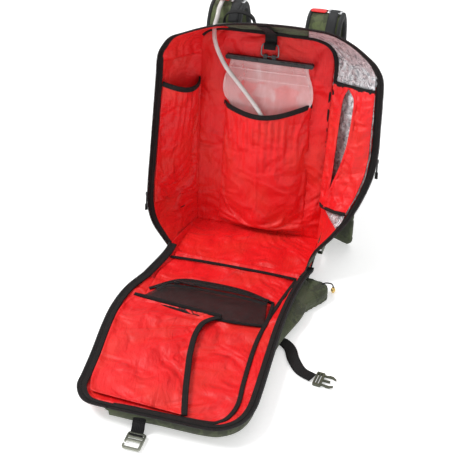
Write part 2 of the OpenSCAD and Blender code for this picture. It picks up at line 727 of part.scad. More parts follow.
// Sternum strap half on a slider that travels along the shoulder strap
module sternum_half(s) {
    color([0.13, 0.13, 0.13]) {
        translate([s * strap_x - 18, sternum_y - 2, sternum_z - 8]) cube([36, 4, 16]);
        translate([s * (strap_x - 18), sternum_y, sternum_z]) rotate([0, s < 0 ? 0 : 180, 0])
            rotate([90, 0, 0]) translate([0, -8, -1]) cube([36, 16, 2]);
        translate([s * (strap_x - 54), sternum_y, sternum_z]) rotate([0, s < 0 ? 0 : 180, 0])
            translate([0, -3, -11]) cube([22, 6, 22]);
    }
}
module left_sternum_strap() { sternum_half(-1); }
module right_sternum_strap() { sternum_half(1); }
wing_x = lumbar_w / 2 + 5;
wing_y = lumbar_y + 16;
wing_t = 14;
wing_turn = 22; // how far a wing points forwards round the body
// Hip belt wing: a padded panel that reaches sideways from the lumbar pad
module wing(s) {
    color(olive) translate([s * wing_x, wing_y, 2]) rotate([0, 0, s * -wing_turn])
        mirror([s < 0 ? 1 : 0, 0, 0])
            rotate([90, 0, 0]) translate([0, 0, -wing_t / 2]) linear_extrude(wing_t)
                hull() {
                    square([2, wing_h]);
                    translate([wing_len - 14, 14]) circle(14);
                    translate([wing_len - 14, wing_h - 14]) circle(14);
                }
}
module left_hip_wing() { wing(-1); }
module right_hip_wing() { wing(1); }
// Webbing folded back behind the wing, with one half of the waist buckle
module hip_buckle(s) {
    translate([s * wing_x, wing_y, 2]) rotate([0, 0, s * -wing_turn]) mirror([s < 0 ? 1 : 0, 0, 0]) {
        color(black) translate([64, wing_t / 2 + gap, wing_h / 2 - web_w / 2]) cube([wing_len - 74, web_t + 1, web_w]);
        translate([63.5, wing_t / 2 + gap, wing_h / 2]) rotate([-90, 0, 180])
            translate([0, 0, s < 0 ? -socket_t : -plug_t]) {
                if (s < 0) buckle_socket();
                else buckle_plug();
            }
    }
}
module left_hip_buckle() { hip_buckle(-1); }
module right_hip_buckle() { hip_buckle(1); }
// Grab loop at the top of the back pad
loop_x = -64;
loop_route = [
    [-32, 71, 458], [-31, 70, 472], [-22, 70, 483], [0, 70, 487], [22, 70, 483], [31, 70, 472], [32, 71, 458]
];
module haul_loop() {
    color(black) translate([loop_x, 0, 0]) tube(smooth(loop_route), 8, [0, 1, 0]);
}

back_lining();
frame_sheet();
frame_stays();
back_pad();
lumbar_pad();
base_panel();
top_wall();
side_gussets();
top_zip_track();
hinge_strip();
hydration_sleeve();
hanger_strap();
reservoir_closure();
reservoir_bag();
drinking_hose();
side_buckle_sockets();
lower_webbing();
left_wall();
left_pocket();
left_zip_track();
left_zip_slider();
right_wall();
foil_liner();
right_pocket();
right_zip_track();
right_zip_slider();
front_shell();
front_lining();
front_zip_track();
aid_pocket();
mesh_pocket();
mesh_zip();
mesh_zip_slider();
tool_pocket();
boot_gusset();
bead_pull();
top_strap();
g_hook();
side_straps();
side_strap_buckles();
panel_side_wall();
panel_side_zip_track();
left_shoulder_strap();
left_load_lifter();
left_strap_sleeve();
strap_hose();
bite_valve();
left_ladder_lock();
left_sternum_strap();
right_shoulder_strap();
right_load_lifter();
right_strap_pocket();
right_ladder_lock();
right_sternum_strap();
left_hip_wing();
left_hip_buckle();
right_hip_wing();
right_hip_buckle();
haul_loop();
hanger_ring();
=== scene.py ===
"""Builds the looks of an open ski pack around its CAD frame: sewn cloth, padding, zips, webbing and fittings."""

import math

import bmesh
import bpy
from bpy.props import FloatProperty, FloatVectorProperty, PointerProperty
from mathutils import Matrix, Vector, noise


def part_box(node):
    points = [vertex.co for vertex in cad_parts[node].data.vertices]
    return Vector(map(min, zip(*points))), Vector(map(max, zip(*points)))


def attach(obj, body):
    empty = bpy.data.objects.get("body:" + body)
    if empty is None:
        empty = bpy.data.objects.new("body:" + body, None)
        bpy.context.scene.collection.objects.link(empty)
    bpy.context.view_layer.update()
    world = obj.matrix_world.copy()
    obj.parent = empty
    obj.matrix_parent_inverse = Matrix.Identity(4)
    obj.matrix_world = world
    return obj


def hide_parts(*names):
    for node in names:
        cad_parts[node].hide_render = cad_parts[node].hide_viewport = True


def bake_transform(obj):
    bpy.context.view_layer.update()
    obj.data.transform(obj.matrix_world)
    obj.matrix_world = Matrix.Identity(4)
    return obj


bl_info = {
    "name": "Open ski pack",
    "version": (1, 0, 0),
    "blender": (4, 5, 0),
    "location": "3D View > Sidebar > Ski pack",
    "description": "Builds the cloth, padding, zips and fittings of an open ski pack around its frame",
    "category": "Mesh",
}

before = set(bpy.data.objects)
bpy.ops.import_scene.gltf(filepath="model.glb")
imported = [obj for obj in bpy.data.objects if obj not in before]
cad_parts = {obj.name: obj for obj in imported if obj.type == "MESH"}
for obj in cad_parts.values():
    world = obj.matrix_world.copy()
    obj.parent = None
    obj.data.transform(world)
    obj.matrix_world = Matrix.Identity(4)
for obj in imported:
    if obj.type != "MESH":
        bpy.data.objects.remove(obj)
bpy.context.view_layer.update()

# Sizes below are in millimetres unless they say otherwise. The back panel leans backwards from the base.
LEAN = math.radians(8)
BASE_TOP = 10
HINGE_X = 141
# Sewn stitches: the distance from one to the next, and the size of each
STITCH_STEP = 2.4
STITCH_SIZE = (2, 0.8, 0.8)


# ---- places and lines ---------------------------------------------------------------------------


def at(x, y, z):
    """A point of the frame, in metres."""
    return Vector((x, y, z)) / 1000


def leaned(x, y, height):
    """A point given in the leaned frame of the back panel, in metres."""
    return at(
        x,
        y * math.cos(LEAN) + height * math.sin(LEAN),
        BASE_TOP - y * math.sin(LEAN) + height * math.cos(LEAN),
    )


def mix(a, b, share):
    return a + (b - a) * share


def ramp(value, low, high):
    """0 below low, 1 above high, and smooth between them."""
    share = min(1.0, max(0.0, (value - low) / (high - low)))
    return share * share * (3 - 2 * share)


def table(pairs, x, soft=12):
    """Reads a table of (x, value) pairs, with its corners rounded over the distance soft."""

    def straight(q):
        if q <= pairs[0][0]:
            return pairs[0][1]
        for (x0, v0), (x1, v1) in zip(pairs, pairs[1:]):
            if q <= x1:
                return mix(v0, v1, (q - x0) / (x1 - x0))
        return pairs[-1][1]

    return sum(straight(x + soft * k) for k in (-1, -0.5, 0, 0.5, 1)) / 5


class Line:
    """A smooth curve through a few points, read by share of its length or by knot."""

    def __init__(self, points, fine=16):
        self.points = [Vector(p) for p in points]
        self.spans = len(self.points) - 1
        self.fine = fine
        self.marks = [0.0]
        last = self.points[0]
        for i in range(1, self.spans * fine + 1):
            here = self.knot(i / fine)
            self.marks.append(self.marks[-1] + (here - last).length)
            last = here
        self.length = self.marks[-1]

    def knot(self, k):
        """The point at knot k, where whole numbers are the given points."""
        p, i = self.points, min(self.spans - 1, max(0, int(k)))
        t = k - i
        a = p[i - 1] if i else 2 * p[0] - p[1]
        b, c = p[i], p[i + 1]
        d = p[i + 2] if i + 2 <= self.spans else 2 * p[-1] - p[-2]
        return 0.5 * (
            2 * b + (c - a) * t + (2 * a - 5 * b + 4 * c - d) * t * t + (3 * b - a - 3 * c + d) * t**3
        )

    def knot_at(self, share):
        """The knot number at a share of the length."""
        want = share * self.length
        low, high = 0, len(self.marks) - 1
        while high - low > 1:
            mid = (low + high) // 2
            if self.marks[mid] <= want:
                low = mid
            else:
                high = mid
        step = self.marks[high] - self.marks[low]
        return (low + (want - self.marks[low]) / step if step > 0 else low) / self.fine

    def share_at(self, knot):
        """The share of the length at a knot."""
        f = knot * self.fine
        i = min(len(self.marks) - 2, int(f))
        return mix(self.marks[i], self.marks[i + 1], f - i) / self.length

    def at(self, share):
        return self.knot(self.knot_at(min(1.0, max(0.0, share))))

    def tangent(self, share):
        gap = 0.002 / max(self.length, 0.01)
        return (self.at(share + gap) - self.at(share - gap)).normalized()

    def part(self, low, high, count=24):
        """A new line along a stretch of this one, given as shares of the length."""
        return Line([self.at(mix(low, high, i / count)) for i in range(count + 1)], fine=4)


def through(spots, fine=16):
    """A smooth curve through points given in millimetres."""
    return Line([at(*spot) for spot in spots], fine)


# The side walls in the leaned frame: how far each is turned out, and how deep it is, by height
FLARE = {
    -1: [(0, 2), (14, 9), (35, 20), (60, 28), (95, 32), (430, 32)],
    1: [(0, 2), (30, 4), (60, 12), (95, 28), (150, 43), (196, 55), (240, 61), (430, 62)],
}
DEPTH = {
    -1: [(0, 146), (18, 140), (60, 136), (130, 130), (430, 105)],
    1: [(0, 146), (40, 142), (82, 134), (150, 131), (240, 123), (366, 117), (430, 109)],
}


def wall(side, share, height, inwards=0.0):
    """A point of a side wall: share 0 at the back seam and 1 at the rim; inwards moves it off the wall."""
    turn = math.radians(table(FLARE[side], height))
    deep = table(DEPTH[side], height) * share
    return leaned(
        side * (HINGE_X + deep * math.sin(turn) - inwards * math.cos(turn)),
        -deep * math.cos(turn) - inwards * math.sin(turn),
        height,
    )


LEFT_HEIGHTS = (4, 20, 45, 80, 130, 190, 250, 310, 360, 400)
RIGHT_HEIGHTS = (396, 350, 300, 250, 205, 160, 120, 80, 45, 20, 4)
LEFT_CORNER = [(-188, -94, 424), (-172, -94, 444), (-146, -93, 456), (-120, -92, 466)]
TOP_RIM = [(-92, -91, 475), (-50, -90, 484), (0, -89, 489), (60, -88, 491), (108, -85, 489)]
RIGHT_CORNER = [(146, -81, 484), (182, -77, 468), (212, -68, 444), (229, -60, 424)]
LEFT_CORNER_SEAM = [(-140, -1, 414), (-135, -1, 430), (-122, -1, 442), (-106, -1, 447)]
TOP_SEAM = [(-88, -1, 449), (-48, -1, 449), (0, -1, 449), (52, -1, 449), (90, -1, 449)]
RIGHT_CORNER_SEAM = [(108, -1, 446), (124, -1, 440), (135, -1, 428), (140, -1, 412)]
RIM = Line(
    [wall(-1, 1, h) for h in LEFT_HEIGHTS]
    + [leaned(*p) for p in LEFT_CORNER + TOP_RIM + RIGHT_CORNER]
    + [wall(1, 1, h) for h in RIGHT_HEIGHTS]
)
SEAM = Line(
    [wall(-1, 0.01, h) for h in LEFT_HEIGHTS]
    + [leaned(*p) for p in LEFT_CORNER_SEAM + TOP_SEAM + RIGHT_CORNER_SEAM]
    + [wall(1, 0.01, h) for h in RIGHT_HEIGHTS]
)
K_LEFT = len(LEFT_HEIGHTS) - 1
K_TOP = K_LEFT + len(LEFT_CORNER) + 1
K_TOP_END = K_TOP + len(TOP_RIM) - 1
K_RIGHT = K_TOP_END + len(RIGHT_CORNER) + 1
K_END = RIM.spans


def gusset(knot, share, swell=0.0):
    """A point of the wall that runs round the body, from the back seam to the rim. It swells outwards between."""
    a, b = SEAM.knot(knot), RIM.knot(knot)
    along = RIM.knot(min(knot + 0.05, K_END)) - RIM.knot(max(knot - 0.05, 0))
    out = (b - a).cross(along)
    out.normalize()
    return mix(a, b, share) + out * swell / 1000 * math.sin(math.pi * share)


# The same places for every piece that crosses a fold
BLENDS = {
    "left_wall": ("pack_body", "left_side_wall", leaned(-170, -60, 0), leaned(-170, -60, 92)),
    "left_corner": ("left_side_wall", "pack_body", leaned(-168, -50, 416), leaned(-96, -50, 468)),
    "right_corner": ("pack_body", "right_side_wall", leaned(112, -50, 480), leaned(200, -34, 414)),
    "right_wall": ("pack_body", "right_side_wall", leaned(190, -60, 6), leaned(190, -60, 250)),
    "fold": ("pack_body", "front_panel", at(0, -144, 34), at(0, -160, 34)),
    "tray_left": ("front_panel", "panel_left_side", at(-138, -400, 20), at(-168, -400, 20)),
    "hose": ("pack_body", "left_strap", at(-112, 74, 470), at(-112, 110, 472)),
}


# ---- finishes -----------------------------------------------------------------------------------


class Finish:
    """A procedural material: a Principled shader and the nodes that lead to it."""

    def __init__(self, name, colour, roughness, own=False, **sockets):
        self.made = bpy.data.materials.new(name)
        self.made.use_nodes = True
        self.made.diffuse_color = (*colour, 1)
        self.tree = self.made.node_tree
        self.shader = self.tree.nodes["Principled BSDF"]
        self.shader.inputs["Base Color"].default_value = (*colour, 1)
        self.shader.inputs["Roughness"].default_value = roughness
        for socket, value in sockets.items():
            self.shader.inputs[socket.replace("_", " ")].default_value = value
        self.colour = colour
        self.height = None
        self.paint = None
        where = self.node("ShaderNodeTexCoord")
        self.place = where.outputs["UV" if own else "Object"]

    def node(self, kind, inputs=None, **settings):
        made = self.tree.nodes.new(kind)
        for key, value in settings.items():
            setattr(made, key, value)
        for key, value in (inputs or {}).items():
            if isinstance(value, bpy.types.NodeSocket):
                self.tree.links.new(value, made.inputs[key])
            else:
                made.inputs[key].default_value = value
        return made

    def maths(self, operation, a, b=0.0, c=0.0):
        return self.node("ShaderNodeMath", {0: a, 1: b, 2: c}, operation=operation).outputs[0]

    def cloud(self, scale, detail=3.0, roughness=0.55, stretch=None, ridged=False, distortion=0.0):
        """Noise from 0 to 1, scale per metre; stretch squeezes it along its axes."""
        place = self.place
        if stretch:
            place = self.node("ShaderNodeMapping", {0: place, "Scale": stretch}).outputs[0]
        kind = "RIDGED_MULTIFRACTAL" if ridged else "FBM"
        made = self.node(
            "ShaderNodeTexNoise",
            {"Vector": place, "Scale": scale, "Detail": detail, "Roughness": roughness, "Distortion": distortion},
            noise_type=kind,
        )
        return made.outputs[0]

    def band(self, value, low, high):
        made = self.node("ShaderNodeMapRange", {0: value, 1: low, 2: high})
        made.interpolation_type = "SMOOTHSTEP"
        return made.outputs[0]

    def tint(self, share, colour):
        """Mixes a colour over what is painted so far, by share from 0 to 1."""
        base = self.paint if self.paint else (*self.colour, 1)
        made = self.node("ShaderNodeMix", {0: share, 6: base, 7: (*colour, 1)}, data_type="RGBA")
        self.paint = made.outputs[2]
        return self

    def bump(self, value, depth, strength=1.0):
        """Adds relief; depth is in millimetres."""
        inputs = {"Height": value, "Distance": depth / 1000, "Strength": strength}
        if self.height:
            inputs["Normal"] = self.height
        self.height = self.node("ShaderNodeBump", inputs).outputs[0]
        return self

    def threads(self, pitch, depth, angle=0.0):
        """Woven threads that cross at right angles, pitch in millimetres."""
        place = self.place
        if angle:
            place = self.node("ShaderNodeMapping", {0: place, "Rotation": (0, 0, angle)}).outputs[0]
        parts = self.node("ShaderNodeSeparateXYZ", {0: place})
        turn = 2000 * math.pi / pitch
        waves = [self.maths("SINE", self.maths("MULTIPLY", parts.outputs[i], turn)) for i in (0, 1, 2)]
        both = self.maths("ADD", self.maths("MULTIPLY", waves[0], waves[1]), waves[2])
        return self.bump(both, depth)

    def ribs(self, pitch, depth, axis=0, lean=0.0):
        """Parallel ribs across an axis of the piece's own map."""
        parts = self.node("ShaderNodeSeparateXYZ", {0: self.place})
        along = parts.outputs[axis]
        if lean:
            along = self.maths("MULTIPLY_ADD", parts.outputs[1 - axis], lean, along)
        wave = self.maths("SINE", self.maths("MULTIPLY", along, 2000 * math.pi / pitch))
        return self.bump(wave, depth)

    def squares(self, pitch, width=0.1):
        """1 on the lines of a square grid of that pitch, and 0 between them."""
        made = self.node(
            "ShaderNodeTexBrick",
            {"Vector": self.place, "Scale": 1000 / pitch, "Mortar Size": width / 2, "Brick Width": 1.0,
             "Row Height": 1.0,
             "Mortar Smooth": 0.3},
            offset=0.0, squash=1.0,
        )
        return made.outputs["Fac"]

    def polish(self, value, low, high):
        """Roughness that goes from low to high with value."""
        made = self.node("ShaderNodeMapRange", {0: value, 3: low, 4: high})
        self.tree.links.new(made.outputs[0], self.shader.inputs["Roughness"])
        return self

    def clear(self, value):
        """Opacity from a value."""
        self.tree.links.new(value, self.shader.inputs["Alpha"])
        return self

    def finish(self):
        if self.paint:
            self.tree.links.new(self.paint, self.shader.inputs["Base Color"])
        if self.height:
            self.tree.links.new(self.height, self.shader.inputs["Normal"])
        return self.made


def darker(colour, share):
    return tuple(c * share for c in colour)


def lining(name, colour, own=True, crease=2.2):
    """Thin crinkled lining cloth with a ripstop grid."""
    f = Finish(name, colour, 0.42, own, Sheen_Weight=0.05, Sheen_Roughness=0.4, Specular_IOR_Level=0.4)
    wide = f.cloud(9, 3)
    f.tint(f.band(wide, 0.42, 0.62), (colour[0] * 0.96, colour[1] + 0.012, colour[2] + 0.003))
    f.tint(f.maths("MULTIPLY", f.band(f.cloud(26, 4, distortion=0.4), 0.5, 0.75), 0.4), darker(colour, 0.72))
    f.tint(f.maths("MULTIPLY", f.squares(5.2, 0.1), 0.22), darker(colour, 0.6))
    f.bump(f.cloud(13, 2, 0.4, distortion=0.9), crease * 12, 1.0)
    f.bump(f.cloud(46, 3, 0.5, stretch=(1, 0.4, 1), distortion=0.7), crease * 2.4, 0.8)
    f.bump(f.squares(5.2, 0.12), 0.12, 0.8)
    f.threads(0.7, 0.03)
    f.polish(wide, 0.34, 0.52)
    return f.finish()


def shell(name, colour, own=False, scale=1.0):
    """Coated pack cloth with a soft camouflage of darker and greener patches."""
    f = Finish(name, colour, 0.78, own, Sheen_Weight=0.12, Sheen_Roughness=0.6, Specular_IOR_Level=0.3)
    f.tint(f.band(f.cloud(24 * scale, 3, distortion=0.8), 0.47, 0.55), darker(colour, 0.5))
    f.tint(f.maths("MULTIPLY", f.band(f.cloud(33 * scale, 2, distortion=1.2), 0.55, 0.62), 0.7),
           (colour[0] * 1.25, colour[1] * 1.35, colour[2] * 1.1))
    f.tint(f.maths("MULTIPLY", f.cloud(900, 2), 0.3), darker(colour, 0.45))
    f.bump(f.cloud(16, 3, distortion=0.5), 2.0, 0.5)
    f.threads(1.3, 0.12)
    f.bump(f.cloud(1500, 2), 0.12)
    f.polish(f.cloud(60, 3), 0.66, 0.9)
    return f.finish()


def woven(name, colour, pitch=1.6, own=True, lean=0.6, rough=0.72):
    """Webbing or tape with slanting ribs."""
    f = Finish(name, colour, rough, own, Sheen_Weight=0.04, Sheen_Roughness=0.45, Specular_IOR_Level=0.25)
    f.tint(f.maths("MULTIPLY", f.band(f.cloud(55, 4), 0.45, 0.75), 0.5), tuple(c * 1.7 + 0.004 for c in colour))
    f.ribs(pitch, 0.35, 0, lean)
    f.ribs(pitch * 0.8, 0.2, 1)
    f.bump(f.cloud(1800, 2), 0.1)
    f.polish(f.cloud(80, 3), rough - 0.1, rough + 0.14)
    return f.finish()


def moulded(name, colour, rough=0.45):
    """Moulded plastic with a fine grain and rubbed patches."""
    f = Finish(name, colour, rough, Specular_IOR_Level=0.5)
    f.tint(f.maths("MULTIPLY", f.band(f.cloud(120, 4), 0.5, 0.8), 0.5), tuple(c * 1.8 + 0.01 for c in colour))
    f.bump(f.cloud(2200, 2), 0.05)
    f.polish(f.cloud(160, 3), rough - 0.1, rough + 0.15)
    return f.finish()


def metal(name, colour, rough=0.3, brushed=(1, 1, 8)):
    """Worn metal with fine brushing."""
    f = Finish(name, colour, rough, Metallic=1.0)
    f.tint(f.maths("MULTIPLY", f.band(f.cloud(90, 5), 0.45, 0.7), 0.55), tuple(min(1, c * 1.35) for c in colour))
    f.bump(f.cloud(700, 3, stretch=brushed), 0.04)
    f.polish(f.cloud(220, 4), rough - 0.12, rough + 0.2)
    return f.finish()


def foil(name):
    """Crumpled silver film, with painted shade and painted highlights for the light on its crumples."""
    f = Finish(name, (0.6, 0.6, 0.62), 0.36, True, Metallic=0.4, Specular_IOR_Level=0.8)
    crumple = f.node("ShaderNodeTexVoronoi", {"Vector": f.place, "Scale": 62.0}, feature="F1").outputs[0]
    # Painted shade and painted highlights: dark and bright patches stand for the light on the crumpled facets
    f.tint(f.maths("MULTIPLY", f.band(f.cloud(75, 4, distortion=1.5), 0.5, 0.58), 0.75), (0.2, 0.2, 0.22))
    f.tint(f.maths("MULTIPLY", f.band(f.cloud(110, 4, distortion=1.8), 0.54, 0.6), 0.8), (0.9, 0.9, 0.92))
    f.bump(crumple, 5.5, 0.7)
    f.bump(f.cloud(95, 5, 0.62, distortion=0.8), 3.4, 0.8)
    f.bump(f.cloud(320, 4), 0.5, 0.6)
    f.polish(f.cloud(70, 3), 0.3, 0.5)
    return f.finish()


def spacer(name, colour, pitch=3.4):
    """Thick knitted mesh with round pores, with painted shade in the pores."""
    f = Finish(name, colour, 0.85, Sheen_Weight=0.15, Specular_IOR_Level=0.25)
    pores = f.node("ShaderNodeTexVoronoi", {"Vector": f.place, "Scale": 1000 / pitch, "Randomness": 0.15}).outputs[0]
    # Painted shade: the pores are darkened where shade falls in them
    pore_shade = f.band(pores, 0.42, 0.2)
    f.tint(pore_shade, darker(colour, 0.25))
    f.tint(f.maths("MULTIPLY", f.cloud(30, 3), 0.4), tuple(c * 1.5 for c in colour))
    f.bump(pores, 1.3, 0.8)
    f.bump(f.cloud(1200, 2), 0.15)
    return f.finish()


def open_mesh(name, colour):
    """Thin net that lets what is behind show through."""
    f = Finish(name, colour, 0.7, True, Specular_IOR_Level=0.4)
    cells = f.node("ShaderNodeTexVoronoi", {"Vector": f.place, "Scale": 400.0, "Randomness": 0.12}).outputs[0]
    thread = f.band(cells, 0.3, 0.42)
    f.bump(thread, 0.3)
    f.tint(f.maths("MULTIPLY", f.cloud(30, 3), 0.4), tuple(c * 1.6 + 0.01 for c in colour))
    return f.clear(f.maths("MULTIPLY_ADD", thread, 0.5, 0.32)).finish()


def film(name, colour, opacity, rough=0.22):
    """Clear soft plastic with faint streaks and haze."""
    f = Finish(name, colour, rough, Coat_Weight=0.5, Coat_Roughness=0.12, Specular_IOR_Level=0.6)
    haze = f.cloud(22, 4, stretch=(1.5, 1, 0.5), distortion=0.4)
    f.tint(f.maths("MULTIPLY", f.band(haze, 0.5, 0.8), 0.6), (0.97, 0.95, 0.95))
    f.bump(f.cloud(45, 3, ridged=True), 1.6, 0.4)
    f.polish(f.cloud(60, 3), rough * 0.7, rough * 1.5)
    return f.clear(f.maths("MULTIPLY_ADD", haze, 0.35, opacity - 0.17)).finish()


FINISH = {}


def make_finishes():
    """Makes every finish once, from the colours in the panel."""
    c = bpy.context.scene.pack_colours
    red, olive, strap = tuple(c.lining), tuple(c.shell), tuple(c.strap)
    FINISH.update(
        lining=lining("lining_ripstop", red),
        sleeve=lining("sleeve_cloth", red, True, 1.2),
        shell=shell("pack_cloth", olive),
        inner=shell("pack_cloth_inside", (olive[0] * 0.9, olive[1] * 1.25, olive[2] * 1.1), True, 1.4),
        strap=shell("strap_cloth", strap, False, 1.5),
        trim=woven("edge_binding", tuple(c.trim), 1.1),
        webbing=woven("webbing", tuple(c.webbing), 1.8),
        edge=woven("grey_edge", (0.045, 0.046, 0.048), 1.2),
        tape=woven("zip_tape", (0.016, 0.014, 0.0145), 0.9),
        coil=moulded("zip_coil", (0.02, 0.019, 0.02), 0.34),
        thread=woven("stitching", (0.035, 0.032, 0.032), 0.6),
        red_thread=woven("red_stitching", darker(red, 0.7), 0.6),
        foil=foil("silver_film"),
        spacer=spacer("spacer_mesh", (0.045, 0.045, 0.048)),
        net=open_mesh("pocket_net", (0.012, 0.01, 0.01)),
        olive_plastic=moulded("olive_plastic", (0.055, 0.062, 0.035)),
        black_plastic=moulded("black_plastic", (0.02, 0.02, 0.022), 0.4),
        sheet_plastic=moulded("frame_sheet_plastic", (0.03, 0.03, 0.032), 0.5),
        hook=metal("hook_metal", (0.3, 0.31, 0.26), 0.36),
        wire=metal("wire", (0.18, 0.18, 0.185), 0.3),
        stay=metal("stay_metal", (0.7, 0.71, 0.73), 0.34),
        brass=metal("bead_brass", (0.72, 0.5, 0.17), 0.26),
        film=film("bag_film", (0.9, 0.62, 0.62), 0.4),
        hose=film("hose_tube", (0.66, 0.62, 0.6), 0.86, 0.2),
        rubber=moulded("valve_rubber", (0.06, 0.09, 0.14), 0.5),
    )


# ---- making pieces --------------------------------------------------------------------------------


def rumple(point, scale, seed=0.0):
    """Smooth noise from -1 to 1 for soft dents, scale in waves per metre."""
    return noise.noise(point * scale + Vector((seed, seed * 1.7, -seed)))


class Piece:
    """One named piece in the making: a mesh with its own map, built up part by part."""

    def __init__(self, name, *finishes):
        self.name = name
        self.finishes = [FINISH[f] for f in finishes]
        self.mesh = bmesh.new()
        self.map = self.mesh.loops.layers.uv.new("UVMap")
        self.flat = []

    def place_grid(self, steps, size, shape, finish, closed=False, capped=True):
        """Lays a grid over shape(u, v), with a map in metres.

        A closed one is joined along its length and at its ends.
        """
        made = bmesh.ops.create_grid(self.mesh, x_segments=steps[0], y_segments=steps[1], size=0.5)["verts"]
        spots = {v: (v.co.x + 0.5, v.co.y + 0.5) for v in made}
        faces = {f for v in made for f in v.link_faces}
        for face in faces:
            face.material_index = finish
            face.smooth = True
            for loop in face.loops:
                u, v = spots[loop.vert]
                loop[self.map].uv = (u * size[0], v * size[1])
        for vert, (u, v) in spots.items():
            vert.co = shape(u, v)
        if not closed:
            self.flat += [spots[v] for v in made]
            return made
        seam = [v for v in made if spots[v][1] < 1e-6 or spots[v][1] > 1 - 1e-6]
        bmesh.ops.remove_doubles(self.mesh, verts=seam, dist=1e-6)
        made = [v for v in made if v.is_valid]
        if capped:
            open_edges = list({e for v in made for e in v.link_edges if e.is_boundary})
            for face in bmesh.ops.holes_fill(self.mesh, edges=open_edges, sides=0)["faces"]:
                face.material_index = finish
                for loop in face.loops:
                    loop[self.map].uv = (0.001, 0.001)
        bmesh.ops.recalc_face_normals(self.mesh, faces=[f for f in {f for v in made for f in v.link_faces}])
        return made

    def sheet(self, shape, size, steps, finish=0, relief=None):
        """A sheet of cloth over shape(u, v); relief(u, v, point) lifts it, in millimetres."""
        made = self.place_grid(steps, (size[0] / 1000, size[1] / 1000), shape, finish)
        if relief:
            self.mesh.normal_update()
            spots = self.flat[-len(made):]
            lifts = [v.normal * (relief(u, w, v.co) / 1000) for v, (u, w) in zip(made, spots)]
            for vert, lift in zip(made, lifts):
                vert.co += lift
        return self

    def band(self, line, width, thick, across, steps=0, finish=0, offset=(0, 0), round_=4, low=0.0, high=1.0, sides=12,
             swell=None, capped=True):
        """A strap of that width and thickness along a line; across(share, point) is the direction across it."""
        steps = steps or max(4, int(line.length * (high - low) / 0.005))
        hint = across if callable(across) else lambda share, point: Vector(across)

        def shape(u, w):
            share = mix(low, high, u)
            here, along = line.at(share), line.tangent(share)
            side = hint(share, here)
            side = (side - along * side.dot(along)).normalized()
            up = along.cross(side)
            turn = 2 * math.pi * w
            c, s = math.cos(turn), math.sin(turn)
            a = math.copysign(abs(c) ** (2 / round_), c) * width / 2000
            b = math.copysign(abs(s) ** (2 / 2.5), s) * thick / 2000
            if swell:
                k = swell(share, a * 2000 / width)
                b *= k
            return here + side * (a + offset[0] / 1000) + up * (b + offset[1] / 1000)

        self.place_grid((steps, sides), (line.length * (high - low), width / 500), shape, finish, True, capped)
        return self

    def tube(self, line, diameter, finish=0, sides=10, steps=0, low=0.0, high=1.0):
        """A round cord along a line."""
        return self.band(line, diameter, diameter, self.any_side(line), steps, finish, round_=2, low=low, high=high,
                         sides=sides)

    @staticmethod
    def any_side(line):
        along = (line.at(1) - line.at(0)).normalized()
        axis = min((abs(along.x), (1, 0, 0)), (abs(along.y), (0, 1, 0)), (abs(along.z), (0, 0, 1)))[1]
        return Vector(axis)

    def row(self, line, pitch, size, across, finish=0, offset=(0, 0), low=0.0, high=1.0, slant=0.0, shape="peg"):
        """Equal small parts in a row, such as coil teeth or stitches: size is along, across and through."""
        count = max(1, int(line.length * (high - low) * 1000 / pitch))
        hint = across if callable(across) else lambda share, point: Vector(across)
        for i in range(count):
            share = mix(low, high, (i + 0.5) / count)
            here, along = line.at(share), line.tangent(share)
            side = hint(share, here)
            side = (side - along * side.dot(along)).normalized()
            up = along.cross(side)
            middle = here + side * offset[0] / 1000 + up * offset[1] / 1000
            turn = Matrix((along + side * slant, side, up)).transposed().to_4x4()
            matrix = Matrix.Translation(middle) @ turn @ Matrix.Diagonal((*[s / 1000 for s in size], 1))
            if shape == "peg":
                lay = Matrix.Rotation(math.pi / 2, 4, "X")
                made = bmesh.ops.create_cone(self.mesh, cap_ends=True, segments=6, radius1=0.5, radius2=0.5, depth=1,
                                             matrix=matrix @ lay)["verts"]
            else:
                lay = Matrix.Rotation(math.pi / 2, 4, "Y")
                made = bmesh.ops.create_cone(self.mesh, cap_ends=True, segments=5, radius1=0.5, radius2=0.35, depth=1,
                                             matrix=matrix @ lay)["verts"]
            for face in {f for v in made for f in v.link_faces}:
                face.material_index = finish
                face.smooth = True
        return self

    def block(self, low, high, place=None, finish=0, bevel=1.0, segments=2):
        """A moulded block between two corners in millimetres, with eased edges, placed by a matrix or function."""
        low, high = Vector(low) / 1000, Vector(high) / 1000
        made = bmesh.ops.create_cube(self.mesh, size=1)["verts"]
        for v in made:
            v.co = Vector([mix(low[i], high[i], v.co[i] + 0.5) for i in range(3)])
        edges = list({e for v in made for e in v.link_edges})
        new = bmesh.ops.bevel(self.mesh, geom=edges, offset=bevel / 1000, segments=segments, profile=0.5,
                              affect="EDGES", material=-1)
        verts = {v for f in new["faces"] for v in f.verts} | {v for v in made if v.is_valid}
        for face in {f for v in verts for f in v.link_faces}:
            face.material_index = finish
            face.smooth = True
        if place is not None:
            for v in verts:
                v.co = place(v.co) if callable(place) else place @ v.co
        return self

    def object(self):
        """Turns the mesh into an object of the scene."""
        data = bpy.data.meshes.new(self.name)
        self.mesh.to_mesh(data)
        self.mesh.free()
        for finish in self.finishes:
            data.materials.append(finish)
        piece = bpy.data.objects.new(self.name, data)
        bpy.context.scene.collection.objects.link(piece)
        return piece


def solid(piece, thick, offset=0.0, back=None, rim=None):
    """Gives a sheet its thickness in millimetres; back and rim are finishes further down its list."""
    made = piece.modifiers.new("Thickness", "SOLIDIFY")
    made.thickness, made.offset, made.use_even_offset = thick / 1000, offset, False
    if back is not None:
        made.material_offset = back
    if rim is not None:
        made.material_offset_rim = rim
    return piece


def eased(piece, width, segments=2):
    """Rounds the sharp edges of a moulded piece, width in millimetres."""
    made = piece.modifiers.new("Edges", "BEVEL")
    made.width, made.segments, made.limit_method, made.angle_limit = width / 1000, segments, "ANGLE", math.radians(35)
    return piece


def bake(piece):
    """Applies every modifier of a piece."""
    graph = bpy.context.evaluated_depsgraph_get()
    data = bpy.data.meshes.new_from_object(piece.evaluated_get(graph), depsgraph=graph)
    piece.modifiers.clear()
    piece.data = data
    return piece


